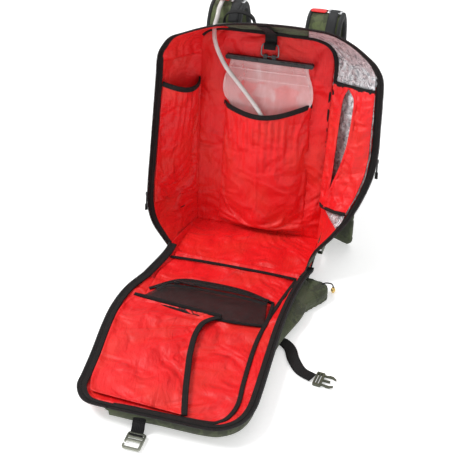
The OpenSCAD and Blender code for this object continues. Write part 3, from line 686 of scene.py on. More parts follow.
def on_body(piece, where, replaces=()):
    """Rides a finished piece on a body; for a fold of that name, it only bakes the piece's modifiers and place into its
    mesh.
    """
    if where in BLENDS:
        if piece.modifiers:
            bake(piece)
        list(BLENDS[where])
        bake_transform(piece)
    else:
        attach(piece, where)
    if replaces:
        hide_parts(*replaces)
    return piece


def settle(piece, held, slack=0.03, frames=14, cap=10.0, gravity=0.35, pressure=0.0, stiff=12.0):
    """Lets a sheet hang and buckle by simulation. held(i, place) is how firmly each point is sewn, from 0 to 1."""
    start = [v.co.copy() for v in piece.data.vertices]
    group = piece.vertex_groups.new(name="sewn")
    for i, place in enumerate(start):
        group.add([i], held(i, place), "REPLACE")
    cloth = piece.modifiers.new("Cloth", "CLOTH")
    cloth.settings.quality = 5
    cloth.settings.mass = 0.15
    cloth.settings.tension_stiffness = cloth.settings.compression_stiffness = stiff
    cloth.settings.bending_stiffness = 0.25
    cloth.settings.shrink_min = -slack
    cloth.settings.vertex_group_mass = "sewn"
    cloth.settings.pin_stiffness = 1
    cloth.settings.effector_weights.gravity = gravity
    if pressure:
        cloth.settings.use_pressure = True
        cloth.settings.uniform_pressure_force = pressure
    run(piece, start, frames, cap)
    piece.vertex_groups.clear()
    return piece


def run(piece, start, frames, cap):
    """Steps the simulation of a piece, caps how far each point has moved, and keeps the result."""
    scene = bpy.context.scene
    cache = piece.modifiers["Cloth"].point_cache
    cache.frame_start, cache.frame_end = 1, frames
    for frame_number in range(1, frames + 1):
        scene.frame_set(frame_number)
    graph = bpy.context.evaluated_depsgraph_get()
    moved = [v.co.copy() for v in piece.evaluated_get(graph).data.vertices]
    piece.modifiers.remove(piece.modifiers["Cloth"])
    scene.frame_set(1)
    limit = cap / 1000
    for vert, old, new in zip(piece.data.vertices, start, moved):
        step = new - old
        if step.length > limit:
            step *= limit / step.length * (1 + 0.15 * math.tanh(step.length / limit - 1))
        vert.co = old + step
    piece.data.update()


def padded(name, node, finishes, choose, voxel=5.0, pressure=4.0, frames=12, cap=7.0, lift=None, smooth=2, shrink=0.5,
           subdivide=False):
    """A stuffed piece from the plain solid of a CAD node: remeshed, swollen by simulation, and relieved by lift."""
    bm = bmesh.new()
    bm.from_mesh(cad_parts[node].data)
    bmesh.ops.remove_doubles(bm, verts=bm.verts, dist=1e-5)
    data = bpy.data.meshes.new(name)
    bm.to_mesh(data)
    bm.free()
    piece = bpy.data.objects.new(name, data)
    bpy.context.scene.collection.objects.link(piece)
    remesh = piece.modifiers.new("Remesh", "REMESH")
    remesh.mode, remesh.voxel_size, remesh.use_smooth_shade = "VOXEL", voxel / 1000, True
    bake(piece)
    for vert, normal in zip(piece.data.vertices, [v.normal.copy() for v in piece.data.vertices]):
        vert.co -= normal * shrink / 1000
    start = [v.co.copy() for v in piece.data.vertices]
    cloth = piece.modifiers.new("Cloth", "CLOTH")
    cloth.settings.quality = 4
    cloth.settings.use_pressure = True
    cloth.settings.uniform_pressure_force = pressure
    cloth.settings.effector_weights.gravity = 0
    run(piece, start, frames, cap)
    bm = bmesh.new()
    bm.from_mesh(piece.data)
    for _ in range(smooth):
        bmesh.ops.smooth_vert(bm, verts=bm.verts, factor=0.5, use_axis_x=True, use_axis_y=True, use_axis_z=True)
    if subdivide:
        bmesh.ops.subdivide_edges(bm, edges=bm.edges, cuts=1, use_grid_fill=True, smooth=0.6)
    bm.normal_update()
    if lift:
        moves = [v.normal * (lift(v.co, v.normal) / 1000) for v in bm.verts]
        for vert, move in zip(bm.verts, moves):
            vert.co += move
    for vert in bm.verts:
        vert.co.z = max(vert.co.z, 0.0004)
    for face in bm.faces:
        face.smooth = True
        face.material_index = choose(face.calc_center_median(), face.normal)
    bm.to_mesh(piece.data)
    bm.free()
    piece.data.materials.clear()
    for finish in finishes:
        piece.data.materials.append(FINISH[finish])
    return piece


def merged_copy(node, name, finishes, choose=None, edge=0.5, segments=2):
    """A CAD node's own shape with its edges eased, in a finish of this file."""
    bm = bmesh.new()
    bm.from_mesh(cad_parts[node].data)
    bmesh.ops.remove_doubles(bm, verts=bm.verts, dist=1e-5)
    bmesh.ops.dissolve_limit(bm, angle_limit=math.radians(2), verts=bm.verts, edges=bm.edges)
    for face in bm.faces:
        face.smooth = True
        face.material_index = choose(face.calc_center_median(), face.normal) if choose else 0
    data = bpy.data.meshes.new(name)
    bm.to_mesh(data)
    bm.free()
    for finish in finishes:
        data.materials.append(FINISH[finish])
    piece = bpy.data.objects.new(name, data)
    bpy.context.scene.collection.objects.link(piece)
    eased(piece, edge, segments)
    normals = piece.modifiers.new("Normals", "WEIGHTED_NORMAL")
    normals.keep_sharp = True
    return piece


def rim_parts(piece, line, inwards, teeth=True, low=0.0, high=1.0):
    """The bound edge of a wall with its zip: binding over the cloth's edge, the tape, the coil and stitches."""
    s = bpy.context.scene.pack_sizes
    wide, tape = s.binding_width * 1000, s.tape_width * 1000

    def across(share, point):
        return -inwards(share, point)

    piece.band(line, wide, 3.6, across, finish=0, offset=(-wide * 0.25, 0), round_=5, low=low, high=high, capped=False)
    piece.band(line, tape, 1.3, across, finish=1, offset=(wide * 0.25 + tape * 0.4, 0), low=low, high=high, sides=8,
               capped=False)
    piece.row(line, s.stitch_pitch * 1000, (2.2, 0.7, 0.7), across, 3, (-wide * 0.55, 1.75), low, high, shape="stitch")
    piece.row(line, s.stitch_pitch * 1000, (2.2, 0.7, 0.7), across, 3, (-wide * 0.55, -1.75), low, high, shape="stitch")
    if teeth:
        piece.row(line, s.coil_pitch * 1000, (1.05, 3.4, 2.5), across, 2, (wide * 0.25 + tape * 0.84, 0.2), low, high,
                  slant=0.18)
    return piece


def edging(piece, line, width, thick, across, finish=0, thread=1, **more):
    """A folded binding over a cloth edge, with a row of stitches on each face."""
    piece.band(line, width, thick, across, finish=finish, round_=5, **more)
    pitch = bpy.context.scene.pack_sizes.stitch_pitch * 1000
    for side in (1, -1):
        piece.row(line, pitch, (2.0, 0.6, 0.6), across, thread, (width * 0.26, side * thick * 0.49), shape="stitch")
    return piece


# ---- settings shown in the panel --------------------------------------------------------------------


class PackSizes(bpy.types.PropertyGroup):
    """Sizes of the sewn details."""

    binding_width: FloatProperty(name="Binding width", description="Width of the folded edge binding", default=0.0105,
                                 min=0.006, max=0.02, unit="LENGTH")
    tape_width: FloatProperty(name="Zip tape width", description="Width of the zip tape beyond the binding",
                              default=0.0075,
                              min=0.004, max=0.015, unit="LENGTH")
    coil_pitch: FloatProperty(name="Coil pitch", description="Distance between the coils of the main zip",
                              default=0.0018,
                              min=0.001, max=0.004, unit="LENGTH")
    stitch_pitch: FloatProperty(name="Stitch pitch", description="Distance between stitches", default=0.0034,
                                min=0.002, max=0.008, unit="LENGTH")
    wrinkle: FloatProperty(name="Wrinkles", description="How far the lining is rumpled", default=0.0022,
                           min=0.0, max=0.006, unit="LENGTH")


class PackColours(bpy.types.PropertyGroup):
    """Colours of the cloths and the floor."""

    lining: FloatVectorProperty(name="Lining", description="Colour of the lining cloth", subtype="COLOR",
                                default=(0.84, 0.009, 0.012), min=0, max=1)
    shell: FloatVectorProperty(name="Shell", description="Colour of the outer cloth", subtype="COLOR",
                               default=(0.062, 0.075, 0.034), min=0, max=1)
    strap: FloatVectorProperty(name="Straps", description="Colour of the strap faces", subtype="COLOR",
                               default=(0.105, 0.125, 0.055), min=0, max=1)
    trim: FloatVectorProperty(name="Trim", description="Colour of the edge binding", subtype="COLOR",
                              default=(0.011, 0.0095, 0.0095), min=0, max=1)
    webbing: FloatVectorProperty(name="Webbing", description="Colour of the webbing", subtype="COLOR",
                                 default=(0.01, 0.0095, 0.01), min=0, max=1)
    floor: FloatVectorProperty(name="Floor", description="Colour of the floor", subtype="COLOR",
                               default=(0.9, 0.9, 0.9), min=0, max=1)


# ---- the stage ------------------------------------------------------------------------------------


class PACK_OT_stage(bpy.types.Operator):
    """Makes the camera, the floor and the soft studio light"""

    bl_idname = "pack.stage"
    bl_label = "Camera, floor and light"

    def execute(self, context):
        scene = context.scene
        scene.view_settings.view_transform = "Standard"
        data = bpy.data.cameras.new("Camera")
        data.lens, data.sensor_width = 78.6, 36
        data.clip_start, data.clip_end = 0.1, 50
        camera = bpy.data.objects.new("Camera", data)
        scene.collection.objects.link(camera)
        camera.location = (0.4744, -1.7643, 1.2936)
        aim = at(-19.2, -150, 106.7) - camera.location
        camera.rotation_mode = "QUATERNION"
        camera.rotation_quaternion = aim.to_track_quat("-Z", "Y")
        scene.camera = camera
        make_finishes()
        self.floor(context)
        self.lights(scene)
        return {"FINISHED"}

    def floor(self, context):
        f = Finish("floor_paper", tuple(context.scene.pack_colours.floor), 0.9, Specular_IOR_Level=0.1,
                   Emission_Color=(1, 1, 1, 1), Emission_Strength=0.42)
        FINISH["floor"] = f.finish()
        made = Piece("floor", "floor")
        made.place_grid((2, 2), (1, 1), lambda u, v: Vector(((u - 0.5) * 24, (v - 0.5) * 24, -0.0005)), 0)
        made.object()

    def lights(self, scene):
        world = bpy.data.worlds.new("Studio")
        world.use_nodes = True
        world.node_tree.nodes["Background"].inputs[0].default_value = (1, 1, 1, 1)
        world.node_tree.nodes["Background"].inputs[1].default_value = 0.6
        scene.world = world
        for name, place, size, power in (
            ("key", (-1.7, -0.9, 2.4), 1.1, 58),
            ("fill", (2.0, -2.2, 1.8), 2.2, 10),
            ("back", (0.3, 1.8, 2.4), 1.8, 16),
        ):
            data = bpy.data.lights.new(name, "AREA")
            data.shape, data.size, data.energy = "DISK", size, power
            lamp = bpy.data.objects.new(name, data)
            scene.collection.objects.link(lamp)
            lamp.location = place
            lamp.rotation_mode = "QUATERNION"
            lamp.rotation_quaternion = (at(0, -150, 150) - lamp.location).to_track_quat("-Z", "Y")


# ---- the walls round the body -----------------------------------------------------------------------


def rumpled(depth, seed, edge=0.12, scale=24.0):
    """Relief for a lining: broad folds that die away at the sewn edges."""
    top = bpy.context.scene.pack_sizes.wrinkle / 0.0022

    def relief(u, v, point):
        fade = min(1.0, min(u, 1 - u, v, 1 - v) / edge + 0.12)
        fold = rumple(point, scale, seed) + 0.5 * rumple(point, scale * 2.3, seed + 3)
        crease = 1 - abs(rumple(Vector((point.x * 0.5, point.y, point.z * 1.4)), scale * 1.5, seed + 9)) * 2
        return depth * top * fade * (1.3 * fold + 0.9 * max(0.0, crease) ** 2)

    return relief


class PACK_OT_walls(bpy.types.Operator):
    """Makes the cloth walls that run round the body, from the base at the left over the top to the right"""

    bl_idname = "pack.walls"
    bl_label = "Walls of the body"

    def execute(self, context):
        stretches = (
            ("wall_left", "left_wall", 0, K_LEFT, 90, 7, "lining", ("left_wall",), 5),
            ("wall_left_corner", "left_corner", K_LEFT - 0.35, K_TOP + 0.2, 30, 4, "lining", (), 4),
            ("wall_top", "pack_body", K_TOP, K_TOP_END, 60, 5, "inner", ("top_wall", "side_gussets"), 3),
            ("wall_right_corner", "right_corner", K_TOP_END - 0.2, K_RIGHT + 0.35, 30, 4, "foil", (), 5),
            ("wall_right", "right_wall", K_RIGHT, K_END, 90, 7, "lining", ("right_wall",), 5),
        )
        for name, where, first, last, steps, swell, inside, stands, seed in stretches:
            piece = Piece(name, inside, "shell", "trim")
            relief = rumpled(1.2, seed, 0.08)
            piece.sheet(lambda u, v: gusset(mix(first, last, u), mix(-0.03, 0.985, v),
                                            swell * (0.4 if "corner" in name else 1)),
                        (steps * 4.3, 130), (steps, 26), 0, lambda u, v, p: relief(0.5, v, p))
            made = solid(piece.object(), 2.6, 0, back=1)
            on_body(made, where, stands)
        skirts = Piece("wall_skirts", "lining", "shell")
        for side, knot in ((-1, 0), (1, K_END)):
            def skirt(u, v, side=side, knot=knot):
                low = at(side * (140.5 + 6 * u), 3 - 149 * u, 9)
                return mix(low, gusset(knot, u), v * 1.06) - at(side * 1.5 * math.sin(math.pi * v), 0, 0)
            skirts.sheet(lambda u, v, f=skirt: f(1 - u, v) if f(0, 0).x < 0 else f(u, v), (146, 24), (40, 10), 0)
        on_body(solid(skirts.object(), 2.4, 0, back=1), "pack_body", ())
        return {"FINISHED"}


class PACK_OT_rims(bpy.types.Operator):
    """Makes the bound rim with its zip, all the way round the body"""

    bl_idname = "pack.rims"
    bl_label = "Rim of the body"

    def execute(self, context):
        stretches = (
            ("rim_left", "left_wall", 0, K_LEFT, ("left_zip_track",)),
            ("rim_left_corner", "left_corner", K_LEFT, K_TOP, ()),
            ("rim_top", "pack_body", K_TOP, K_TOP_END, ("top_zip_track",)),
            ("rim_right_corner", "right_corner", K_TOP_END, K_RIGHT, ()),
            ("rim_right", "right_wall", K_RIGHT, K_END, ("right_zip_track",)),
        )
        for name, where, first, last, stands in stretches:
            piece = Piece(name, "trim", "tape", "coil", "thread")
            rim_parts(piece, RIM, self.inwards, low=RIM.share_at(first),
                      high=RIM.share_at(last) if last < K_END else 1.0)
            on_body(piece.object(), where, stands)
        seam = Piece("seam_binding", "trim", "thread")
        inner = Line([gusset(k / 2, 0.05) + leaned(0, -6, 0) - leaned(0, 0, 0)
                      for k in range(2 * K_LEFT + 4, 2 * K_END - 10)], fine=4)
        seam.band(inner, 9, 2.4, lambda share, point: -self.inwards(None, point, SEAM), finish=0, round_=4)
        seam.row(inner, 3.6, (2.0, 0.6, 0.6), Vector((0, 1, 0)), 1, (0, 1.4), shape="stitch")
        on_body(seam.object(), "pack_body")
        piping = Piece("outer_piping", "trim")
        piping.band(Line([gusset(k / 2, -0.05) for k in range(0, 2 * K_END + 1)], fine=4), 9, 6.5, (0, 1, 0),
                    finish=0, round_=3)
        base = [at(side * x, y, 9) for side, x, y in ((-1, 141, 4), (-1, 144, -60), (-1, 148, -138), (-1, 147, -147),
                                                      (-1, 138, -148.5),
                                                      (0, 0, -148.5), (1, 138, -148.5), (1, 147, -147), (1, 148, -138),
                                                      (1, 144, -60), (1, 141, 4))]
        piping.band(Line(base), 7, 7, (0, 0, 1), finish=0, round_=3)
        on_body(piping.object(), "pack_body", ())
        return {"FINISHED"}

    @staticmethod
    def inwards(share, point, line=None):
        """From the rim back towards the seam."""
        if line is None:
            knot = RIM.knot_at(min(1.0, max(0.0, share)))
            return (SEAM.knot(knot) - RIM.knot(knot)).normalized()
        middle = leaned(0, 0, 230)
        return Vector((middle.x - point.x, 0, middle.z - point.z)).normalized()


class PACK_OT_back_lining(bpy.types.Operator):
    """Makes the lining of the back and of the base, seen inside the open body"""

    bl_idname = "pack.back_lining"
    bl_label = "Lining of the back"

    def execute(self, context):
        wide, high, corner = 141.5, 449.5, 40

        def back(u, v):
            x, h = mix(-wide, wide, u), mix(2, high, v)
            over = max(0.0, h - (high - corner))
            narrow = wide - corner + math.sqrt(max(0.0, corner**2 - over**2))
            x *= narrow / wide
            middle = (1 - (2 * u - 1) ** 2) * min(1, v * 6) * min(1, (1 - v) * 6)
            return leaned(x, -1.2 - 5 * middle**0.4, h)

        piece = Piece("lining_back", "lining")
        relief = rumpled(1.7, 1.3, 0.06, 18)
        piece.sheet(back, (278, 449), (78, 120), 0, lambda u, v, p: max(-2.4, relief(u, v, p)))
        made = settle(piece.object(), lambda i, p: 1.0 if is_edge(piece.flat[i]) else 0.02, 0.02, 10, 1.5, 0.2)
        solid(made, 1.0)
        on_body(made, "pack_body", ("back_lining",))

        floor = Piece("lining_base", "lining")
        relief = rumpled(2.6, 4.1, 0.1, 22)
        floor.sheet(lambda u, v: at(mix(-1, 1, u) * (143 + 6 * v), mix(2, -146, v), 13 + 3 * math.sin(math.pi * v)),
                    (276, 142), (60, 32), 0, relief)
        made = solid(floor.object(), 1.0)
        on_body(made, "pack_body", ())

        fold = Piece("lining_fold", "lining", "shell")
        path = Line([at(0, -139, 14), at(0, -146, 19), at(0, -151, 25), at(0, -157, 25), at(0, -164, 22.5),
                     at(0, -172, 22)])
        fold.sheet(lambda u, v: path.at(v) + at(mix(148, -148, u), 0, 1.6 * rumple(at(mix(-136, 136, u), 0, 0), 30)),
                   (272, 40), (60, 14))
        under = Line([at(0, -138, 3), at(0, -145, 6), at(0, -149, 12), at(0, -152, 16), at(0, -157, 16),
                      at(0, -168, 15)])
        fold.sheet(lambda u, v: under.at(v) + at(mix(140, -140, u), 0, 0), (280, 36), (50, 16), 1)
        on_body(solid(fold.object(), 1.4, 0, back=1), "fold", ("hinge_strip",))
        base = padded("base_cloth", "base_panel", ("shell", "trim"), lambda p, n: 1 if p.z < 0.004 else 0, 4.0, 1.0,
                      6, 1.5,
                      None, 1, 0.6)
        on_body(base, "pack_body", ("base_panel",))
        return {"FINISHED"}


def is_edge(spot):
    """True where a point of the flat cut lies on its edge."""
    return min(spot[0], 1 - spot[0], spot[1], 1 - spot[1]) < 1e-5


class PACK_OT_left_pocket(bpy.types.Operator):
    """Makes the gathered pocket on the left wall, with its bound mouth"""

    bl_idname = "pack.left_pocket"
    bl_label = "Left pocket"

    bottom = 78
    top = 338

    def face(self, u, v):
        """u from the back seam to the rim, v from the bottom to the mouth."""
        sag = 11 * math.sin(math.pi * u) * v**4 - 7 * (u - 0.5) * v**3
        height = mix(self.bottom, self.top, v) - sag
        across = mix(0.05, 0.93, u)
        low = ramp(v, 0, 0.3)
        belly = (6 + 22 * v**0.8) * low * math.sin(math.pi * u) ** 0.75
        return wall(-1, across, height, 2.5 + belly)

    def execute(self, context):
        gathers = rumpled(2.0, 6.2, 0.1, 20)

        def relief(u, v, point):
            pleats = (1.3 * math.sin(u * 30 + 2.2 * math.sin(v * 5)) + 0.8 * math.sin(u * 51 + 2)) * ramp(v, 0.35, 0.9)
            pleats *= math.sin(math.pi * u) * min(1, (1 - v) / 0.07)
            return gathers(u, v, point) + pleats

        piece = Piece("pocket_left", "lining")
        piece.sheet(self.face, (150, 262), (56, 84), 0, relief)
        flat = piece.flat
        made = settle(piece.object(), lambda i, p: 1.0 if is_edge(flat[i]) else 0.0, 0.035, 14, 9, 0.5)
        on_body(solid(made, 1.0), "left_wall", ("left_pocket",))
        mouth = Line([self.face(i / 12, 1) for i in range(13)])
        trim = Piece("pocket_left_binding", "trim", "thread")
        edging(trim, mouth, 11, 4.0, lambda share, point: leaned(0, 0, 1000) - leaned(0, 0, 0))
        on_body(trim.object(), "left_wall", ())
        return {"FINISHED"}


class PACK_OT_right_pocket(bpy.types.Operator):
    """Makes the silver film on the right wall and the two pocket leaves over it, with the slit between them"""

    bl_idname = "pack.right_pocket"
    bl_label = "Right pocket"

    def leaf(self, low_u, high_u):
        """A leaf from low_u to high_u across the wall; it is taller towards the rim."""

        def face(u, v):
            across = mix(low_u(v), high_u(v), u)
            top = 364 + 8 * across
            height = mix(92 + 34 * across, top, v)
            near = min(across / 0.3, (1 - across) / 0.25, 1.0)
            belly = (4 + 14 * math.sin(math.pi * min(1, v * 0.9 + 0.1)) ** 0.7) * max(0.0, near) ** 0.7
            return wall(1, across, height, 4.5 + belly)

        return face

    def execute(self, context):
        silver = Piece("foil_lining", "foil")
        silver.sheet(lambda u, v: wall(1, mix(0.03, 0.94, u), mix(92, 416, v), 3.0), (122, 324), (44, 110), 0,
                     self.crumple)
        made = solid(silver.object(), 0.8)
        on_body(made, "right_wall", ("foil_liner",))

        def slit_low(v):
            return 0.4 - 0.09 * ramp(1.02 - v, 0, 0.12) * ramp(v, -0.02, 0.5)

        def slit_high(v):
            return 0.41 + 0.2 * ramp(1.02 - v, 0, 0.12) * ramp(v, -0.02, 0.75)

        leaves = (
            ("pocket_right_back", lambda v: 0.05, slit_low, 7.7),
            ("pocket_right_front", slit_high, lambda v: 0.95, 2.9),
        )
        for name, low_u, high_u, seed in leaves:
            face = self.leaf(low_u, high_u)
            piece = Piece(name, "lining")
            piece.sheet(face, (45, 260), (26, 92), 0, rumpled(2.0, seed, 0.14, 26))
            flat = piece.flat
            made = settle(piece.object(), lambda i, p: 1.0 if is_edge(flat[i]) else 0.0, 0.04, 12, 6, 0.3)
            stands = ("right_pocket",) if name.endswith("back") else ()
            on_body(solid(made, 1.0), "right_wall", stands)
        back, front = self.leaf(*leaves[0][1:3]), self.leaf(*leaves[1][1:3])
        trim = Piece("pocket_right_binding", "trim", "thread", "lining", "red_thread")
        up = leaned(0, 0, 1000) - leaned(0, 0, 0)
        edging(trim, Line([back(i / 6, 1) for i in range(7)] + [front(i / 6, 1) for i in range(1, 7)]), 10, 2.4, up)
        edging(trim, Line([back(i / 6, 0) for i in range(7)] + [front(i / 6, 0) for i in range(1, 7)]), 8, 2.2, up)
        for face, edge in ((back, 1), (front, 0)):
            hem = Line([face(edge, i / 14) for i in range(15)])
            edging(trim, hem, 7, 2.0, lambda share, point: Vector((1, -0.6, 0)), 2, 3)
        on_body(trim.object(), "right_wall", ())
        return {"FINISHED"}

    @staticmethod
    def crumple(u, v, point):
        fold = 1 - abs(rumple(point, 52, 2.2)) * 2.4
        fine = 1 - abs(rumple(point, 120, 5.2)) * 2.4
        return 1.6 * fold + 0.7 * fine


class PACK_OT_sleeve(bpy.types.Operator):
    """Makes the gathered sleeve that holds the drinking bag"""

    bl_idname = "pack.sleeve"
    bl_label = "Sleeve"

    middle_x = 8
    half = 98

    def face(self, u, v):
        x = self.middle_x + mix(-self.half, self.half, u) * (1 - 0.05 * v)
        sag = 19 * math.sin(math.pi * u) ** 1.3 * v**3
        height = mix(18, 289 + 18 * u, v) - sag
        belly = (13 + 27 * math.sin(math.pi * min(1, 0.25 + 0.44 * v))) * math.sin(math.pi * u) ** 0.5
        return leaned(x, -3.5 - belly * ramp(v, -0.25, 0.22), height)

    def execute(self, context):
        soft = rumpled(1.8, 8.8, 0.08, 17)

        def relief(u, v, point):
            depth = ramp(v, 0.3, 0.9) * math.sin(math.pi * u) ** 0.4 * min(1, (1 - v) / 0.06)
            pleats = math.sin(u * 47 + 2.4 * math.sin(v * 5 + u * 9)) + 0.8 * math.sin(u * 83 + 3 * v)
            pleats *= 1 + 0.7 * rumple(Vector((u, 0, 0)), 9, 2)
            return soft(u, v, point) + 1.35 * depth * pleats

        piece = Piece("sleeve", "sleeve")
        piece.sheet(self.face, (230, 296), (92, 100), 0, relief)
        flat = piece.flat
        made = settle(piece.object(), lambda i, p: 1.0 if is_edge(flat[i]) else 0.0, 0.03, 14, 9, 0.45)
        on_body(solid(made, 1.0), "pack_body", ("hydration_sleeve",))
        trim = Piece("sleeve_binding", "trim", "thread")
        edging(trim, Line([self.face(i / 16, 1) for i in range(17)]), 11, 4.4, leaned(0, 0, 1000) - leaned(0, 0, 0))
        on_body(trim.object(), "pack_body", ())
        return {"FINISHED"}


class PACK_OT_reservoir(bpy.types.Operator):
    """Makes the drinking bag with its slide bar, wire hook and hanging strap"""

    bl_idname = "pack.reservoir"
    bl_label = "Drinking bag"

    def execute(self, context):
        lo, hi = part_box("reservoir_bag")
        middle_x = (lo.x + hi.x) / 2 * 1000
        shape = [(44, 44), (60, 62), (120, 70), (240, 72), (290, 76), (306, 88), (322, 93), (346, 91), (366, 84),
                 (380, 80), (389, 79)]

        def face(u, w):
            height = mix(44, 389, u)
            half = table(shape, height, 6)
            turn = 2 * math.pi * w
            full = 5.6 * ramp(height, 40, 70) * ramp(389 - height, 2, 60) + 1.1
            a = math.copysign(abs(math.cos(turn)) ** 0.75, math.cos(turn)) * half
            b = math.sin(turn) * full * (1 + 0.12 * rumple(Vector((a, height, 0)), 0.03, 2))
            return leaned(middle_x + a, -11.5 + b, height)

        bag = Piece("drinking_bag", "film")
        bag.place_grid((96, 56), (0.345, 0.37), face, 0, True)
        made = bag.object()
        on_body(made, "pack_body", ("reservoir_bag",))
        seams = Piece("drinking_bag_seams", "film")
        for side in (-1, 1):
            edge = Line([leaned(middle_x + side * (half + 1), -11.5, height) for height, half in shape[1:]])
            seams.band(edge, 7, 1.2, (1, 0, 0), offset=(-side * 1.0, 0))
        for height, wide in ((372, 162), (352, 176)):
            seams.band(Line([leaned(middle_x - wide / 2, -15, height), leaned(middle_x, -16, height - 1),
                             leaned(middle_x + wide / 2, -15, height)]), 3.2, 1.2, leaned(0, 0, 1000) - leaned(0, 0, 0))
        on_body(seams.object(), "pack_body", ())
        on_body(merged_copy("reservoir_closure", "slide_bar", ("black_plastic",), edge=1.0), "pack_body",
                ("reservoir_closure",))
        details = Piece("slide_bar_ribs", "black_plastic")
        place = lambda p: leaned(p.x * 1000 + middle_x, p.y * 1000, p.z * 1000)
        for k in range(-5, 6):
            if abs(k) > 1:
                details.block((k * 14 - 4.5, -17.6, 390.6), (k * 14 + 4.5, -15.6, 395.8), place, 0, 0.6)
        on_body(details.object(), "pack_body", ())
        hook = Piece("wire_hook", "wire")
        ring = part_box("hanger_ring")
        x0, x1 = ring[0].x * 1000 + 1.5, ring[1].x * 1000 - 1.5
        h0, h1 = 402.6, 428.5
        corners = [(x0 + 4, h0), (x1 - 4, h0), (x1, h0 + 4), (x1 - 1, h1 - 6), (x1 - 7, h1), (x0 + 7, h1),
                   (x0 + 1, h1 - 6),
                   (x0, h0 + 4), (x0 + 4, h0)]
        hook.tube(Line([leaned(x, -11, h) for x, h in corners]), 3.0, sides=12, steps=120)
        on_body(hook.object(), "pack_body", ("hanger_ring",))
        strap = Piece("hanging_strap", "webbing", "thread")
        route = Line([leaned(8, y, h) for y, h in ((-84, 484), (-60, 473), (-34, 461), (-14, 451), (-8.5, 438),
                                                   (-8, 432),
                                                   (-10, 430.2), (-13.5, 429.6), (-15.6, 426), (-15.8, 418))])
        strap.band(route, 25, 2.0, (1, 0, 0), steps=70)
        strap.band(Line([leaned(8, -6.5, 440), leaned(8, -6.8, 431), leaned(8, -6.2, 424)]), 25, 1.8, (1, 0, 0))
        for h in (434, 436.5, 439):
            strap.row(Line([leaned(-3, -9.6, h), leaned(19, -9.6, h)]), STITCH_STEP, STITCH_SIZE, (0, 0, 1), 1,
                      shape="stitch")
        on_body(strap.object(), "pack_body", ("hanger_strap",))
        return {"FINISHED"}


HOSE_INSIDE = [(14, -27, 236), (10, -28, 262), (0, -30, 284), (-18, -32, 308), (-46, -32, 340), (-76, -30, 372),
               (-97, -26, 404), (-108, -20, 430), (-112, -8, 450), (-112, 8, 466)]
STRAP_CURVE = Line([at(0, y, z) for y, z in ((84, 424), (94, 452), (114, 474), (142, 474), (163, 446), (171, 390),
                                             (166, 320), (150, 250), (130, 196))])
HOSE_D = 9
STRAP_X = 104
STRAP_T = 13


def over_strap(knot, rise, x=0.0):
    """A point over a shoulder strap's outer face, by knot of its curve; rise is from its middle in millimetres."""
    share = STRAP_CURVE.share_at(knot)
    along = STRAP_CURVE.tangent(share)
    return STRAP_CURVE.knot(knot) + Vector((1, 0, 0)).cross(along) * rise / 1000 + at(x, 0, 0)


class PACK_OT_hose(bpy.types.Operator):
    """Makes the drinking hose, from the sleeve through the top corner to its valve on the left strap"""

    bl_idname = "pack.hose"
    bl_label = "Drinking hose"

    def execute(self, context):
        rise = STRAP_T / 2 + 0.5 + HOSE_D / 2 + 1.5
        points = [leaned(*p) for p in HOSE_INSIDE]
        points += [at(-113, 88, 482)]
        points += [over_strap(k, rise, -STRAP_X - 10) for k in (2.2, 2.6, 3, 3.5, 4, 4.25)]
        line = Line(points)
        piece = Piece("hose", "hose")
        piece.tube(line, HOSE_D, sides=14, steps=160)
        made = on_body(piece.object(), "hose", ("drinking_hose", "strap_hose"))
        valve = Piece("hose_valve", "rubber", "black_plastic")
        tip = Line([over_strap(k, rise, -STRAP_X - 10) for k in (4.25, 4.4, 4.6, 4.75)])

        valve.tube(tip, 11.5, 1, 16, 10, 0, 0.32)
        valve.tube(tip, 12.6, 1, 16, 4, 0.04, 0.12)
        valve.band(tip, 11, 9, (1, 0, 0), 12, 0, round_=2, low=0.3, high=0.75, sides=16)
        valve.band(tip, 9, 5.5, (1, 0, 0), 8, 0, round_=2.4, low=0.75, high=1.0, sides=16)
        tipped = on_body(valve.object(), "left_strap", ("bite_valve",))
        path = [list(line.at(i / 80)) for i in range(81)]
        tuple(path[0])
        return {"FINISHED"}


# ---- the front panel, lying open --------------------------------------------------------------------

TRAY_RIM = through(((146, -176, 37.5), (139, -240, 37.5), (137, -330, 37.5), (141, -420, 37.5), (146.5, -520, 37.5),
                    (146.5, -566, 37.5), (137, -598, 37.5), (115, -619.5, 37.5), (85, -627.5, 37.5),
                    (0, -628.5, 37.5), (-60, -629, 37.5), (-92, -629, 37.2)))
TRAY_SEAM = through(((132, -174, 21), (121, -236, 21), (110, -310, 21), (106, -390, 21), (113, -490, 21),
                     (119, -545, 21), (114, -578, 21), (102, -597, 21), (80, -606, 21), (0, -609, 21),
                     (-60, -610, 21), (-92, -612, 21)))
LEFT_RIM = through(((-92, -629, 37.2), (-134, -622, 34), (-159, -592, 30), (-165, -556, 27.5), (-172, -500, 27),
                    (-184, -420, 27), (-189, -360, 27), (-184, -300, 27), (-166, -246, 27)))
LEFT_SEAM = through(((-92, -612, 21), (-124, -606, 21), (-143, -585, 20), (-150, -552, 19), (-150.5, -500, 18),
                     (-150.5, -420, 18), (-150.5, -360, 18), (-150.5, -300, 18), (-149, -246, 18)))


def between(low, high, rise, sag=0.0):
    """A cloth between two lines of matching knots: it lies along the low one, then rises to the high one."""

    def shape(u, v):
        k = u * low.spans
        a, b = low.knot(k), high.knot(k)
        point = mix(a, b, v)
        point.z = mix(a.z, b.z, v**1.5) + (rise * math.sin(math.pi * v) - sag * v * (1 - v)) / 1000
        return point

    return shape


def inward_of(low, high):
    """The direction from a rim back to its seam."""
    return lambda share, point: (low.knot(high.knot_at(min(1, max(0, share)))) - high.at(share)) * Vector((1, 1, 0.3))


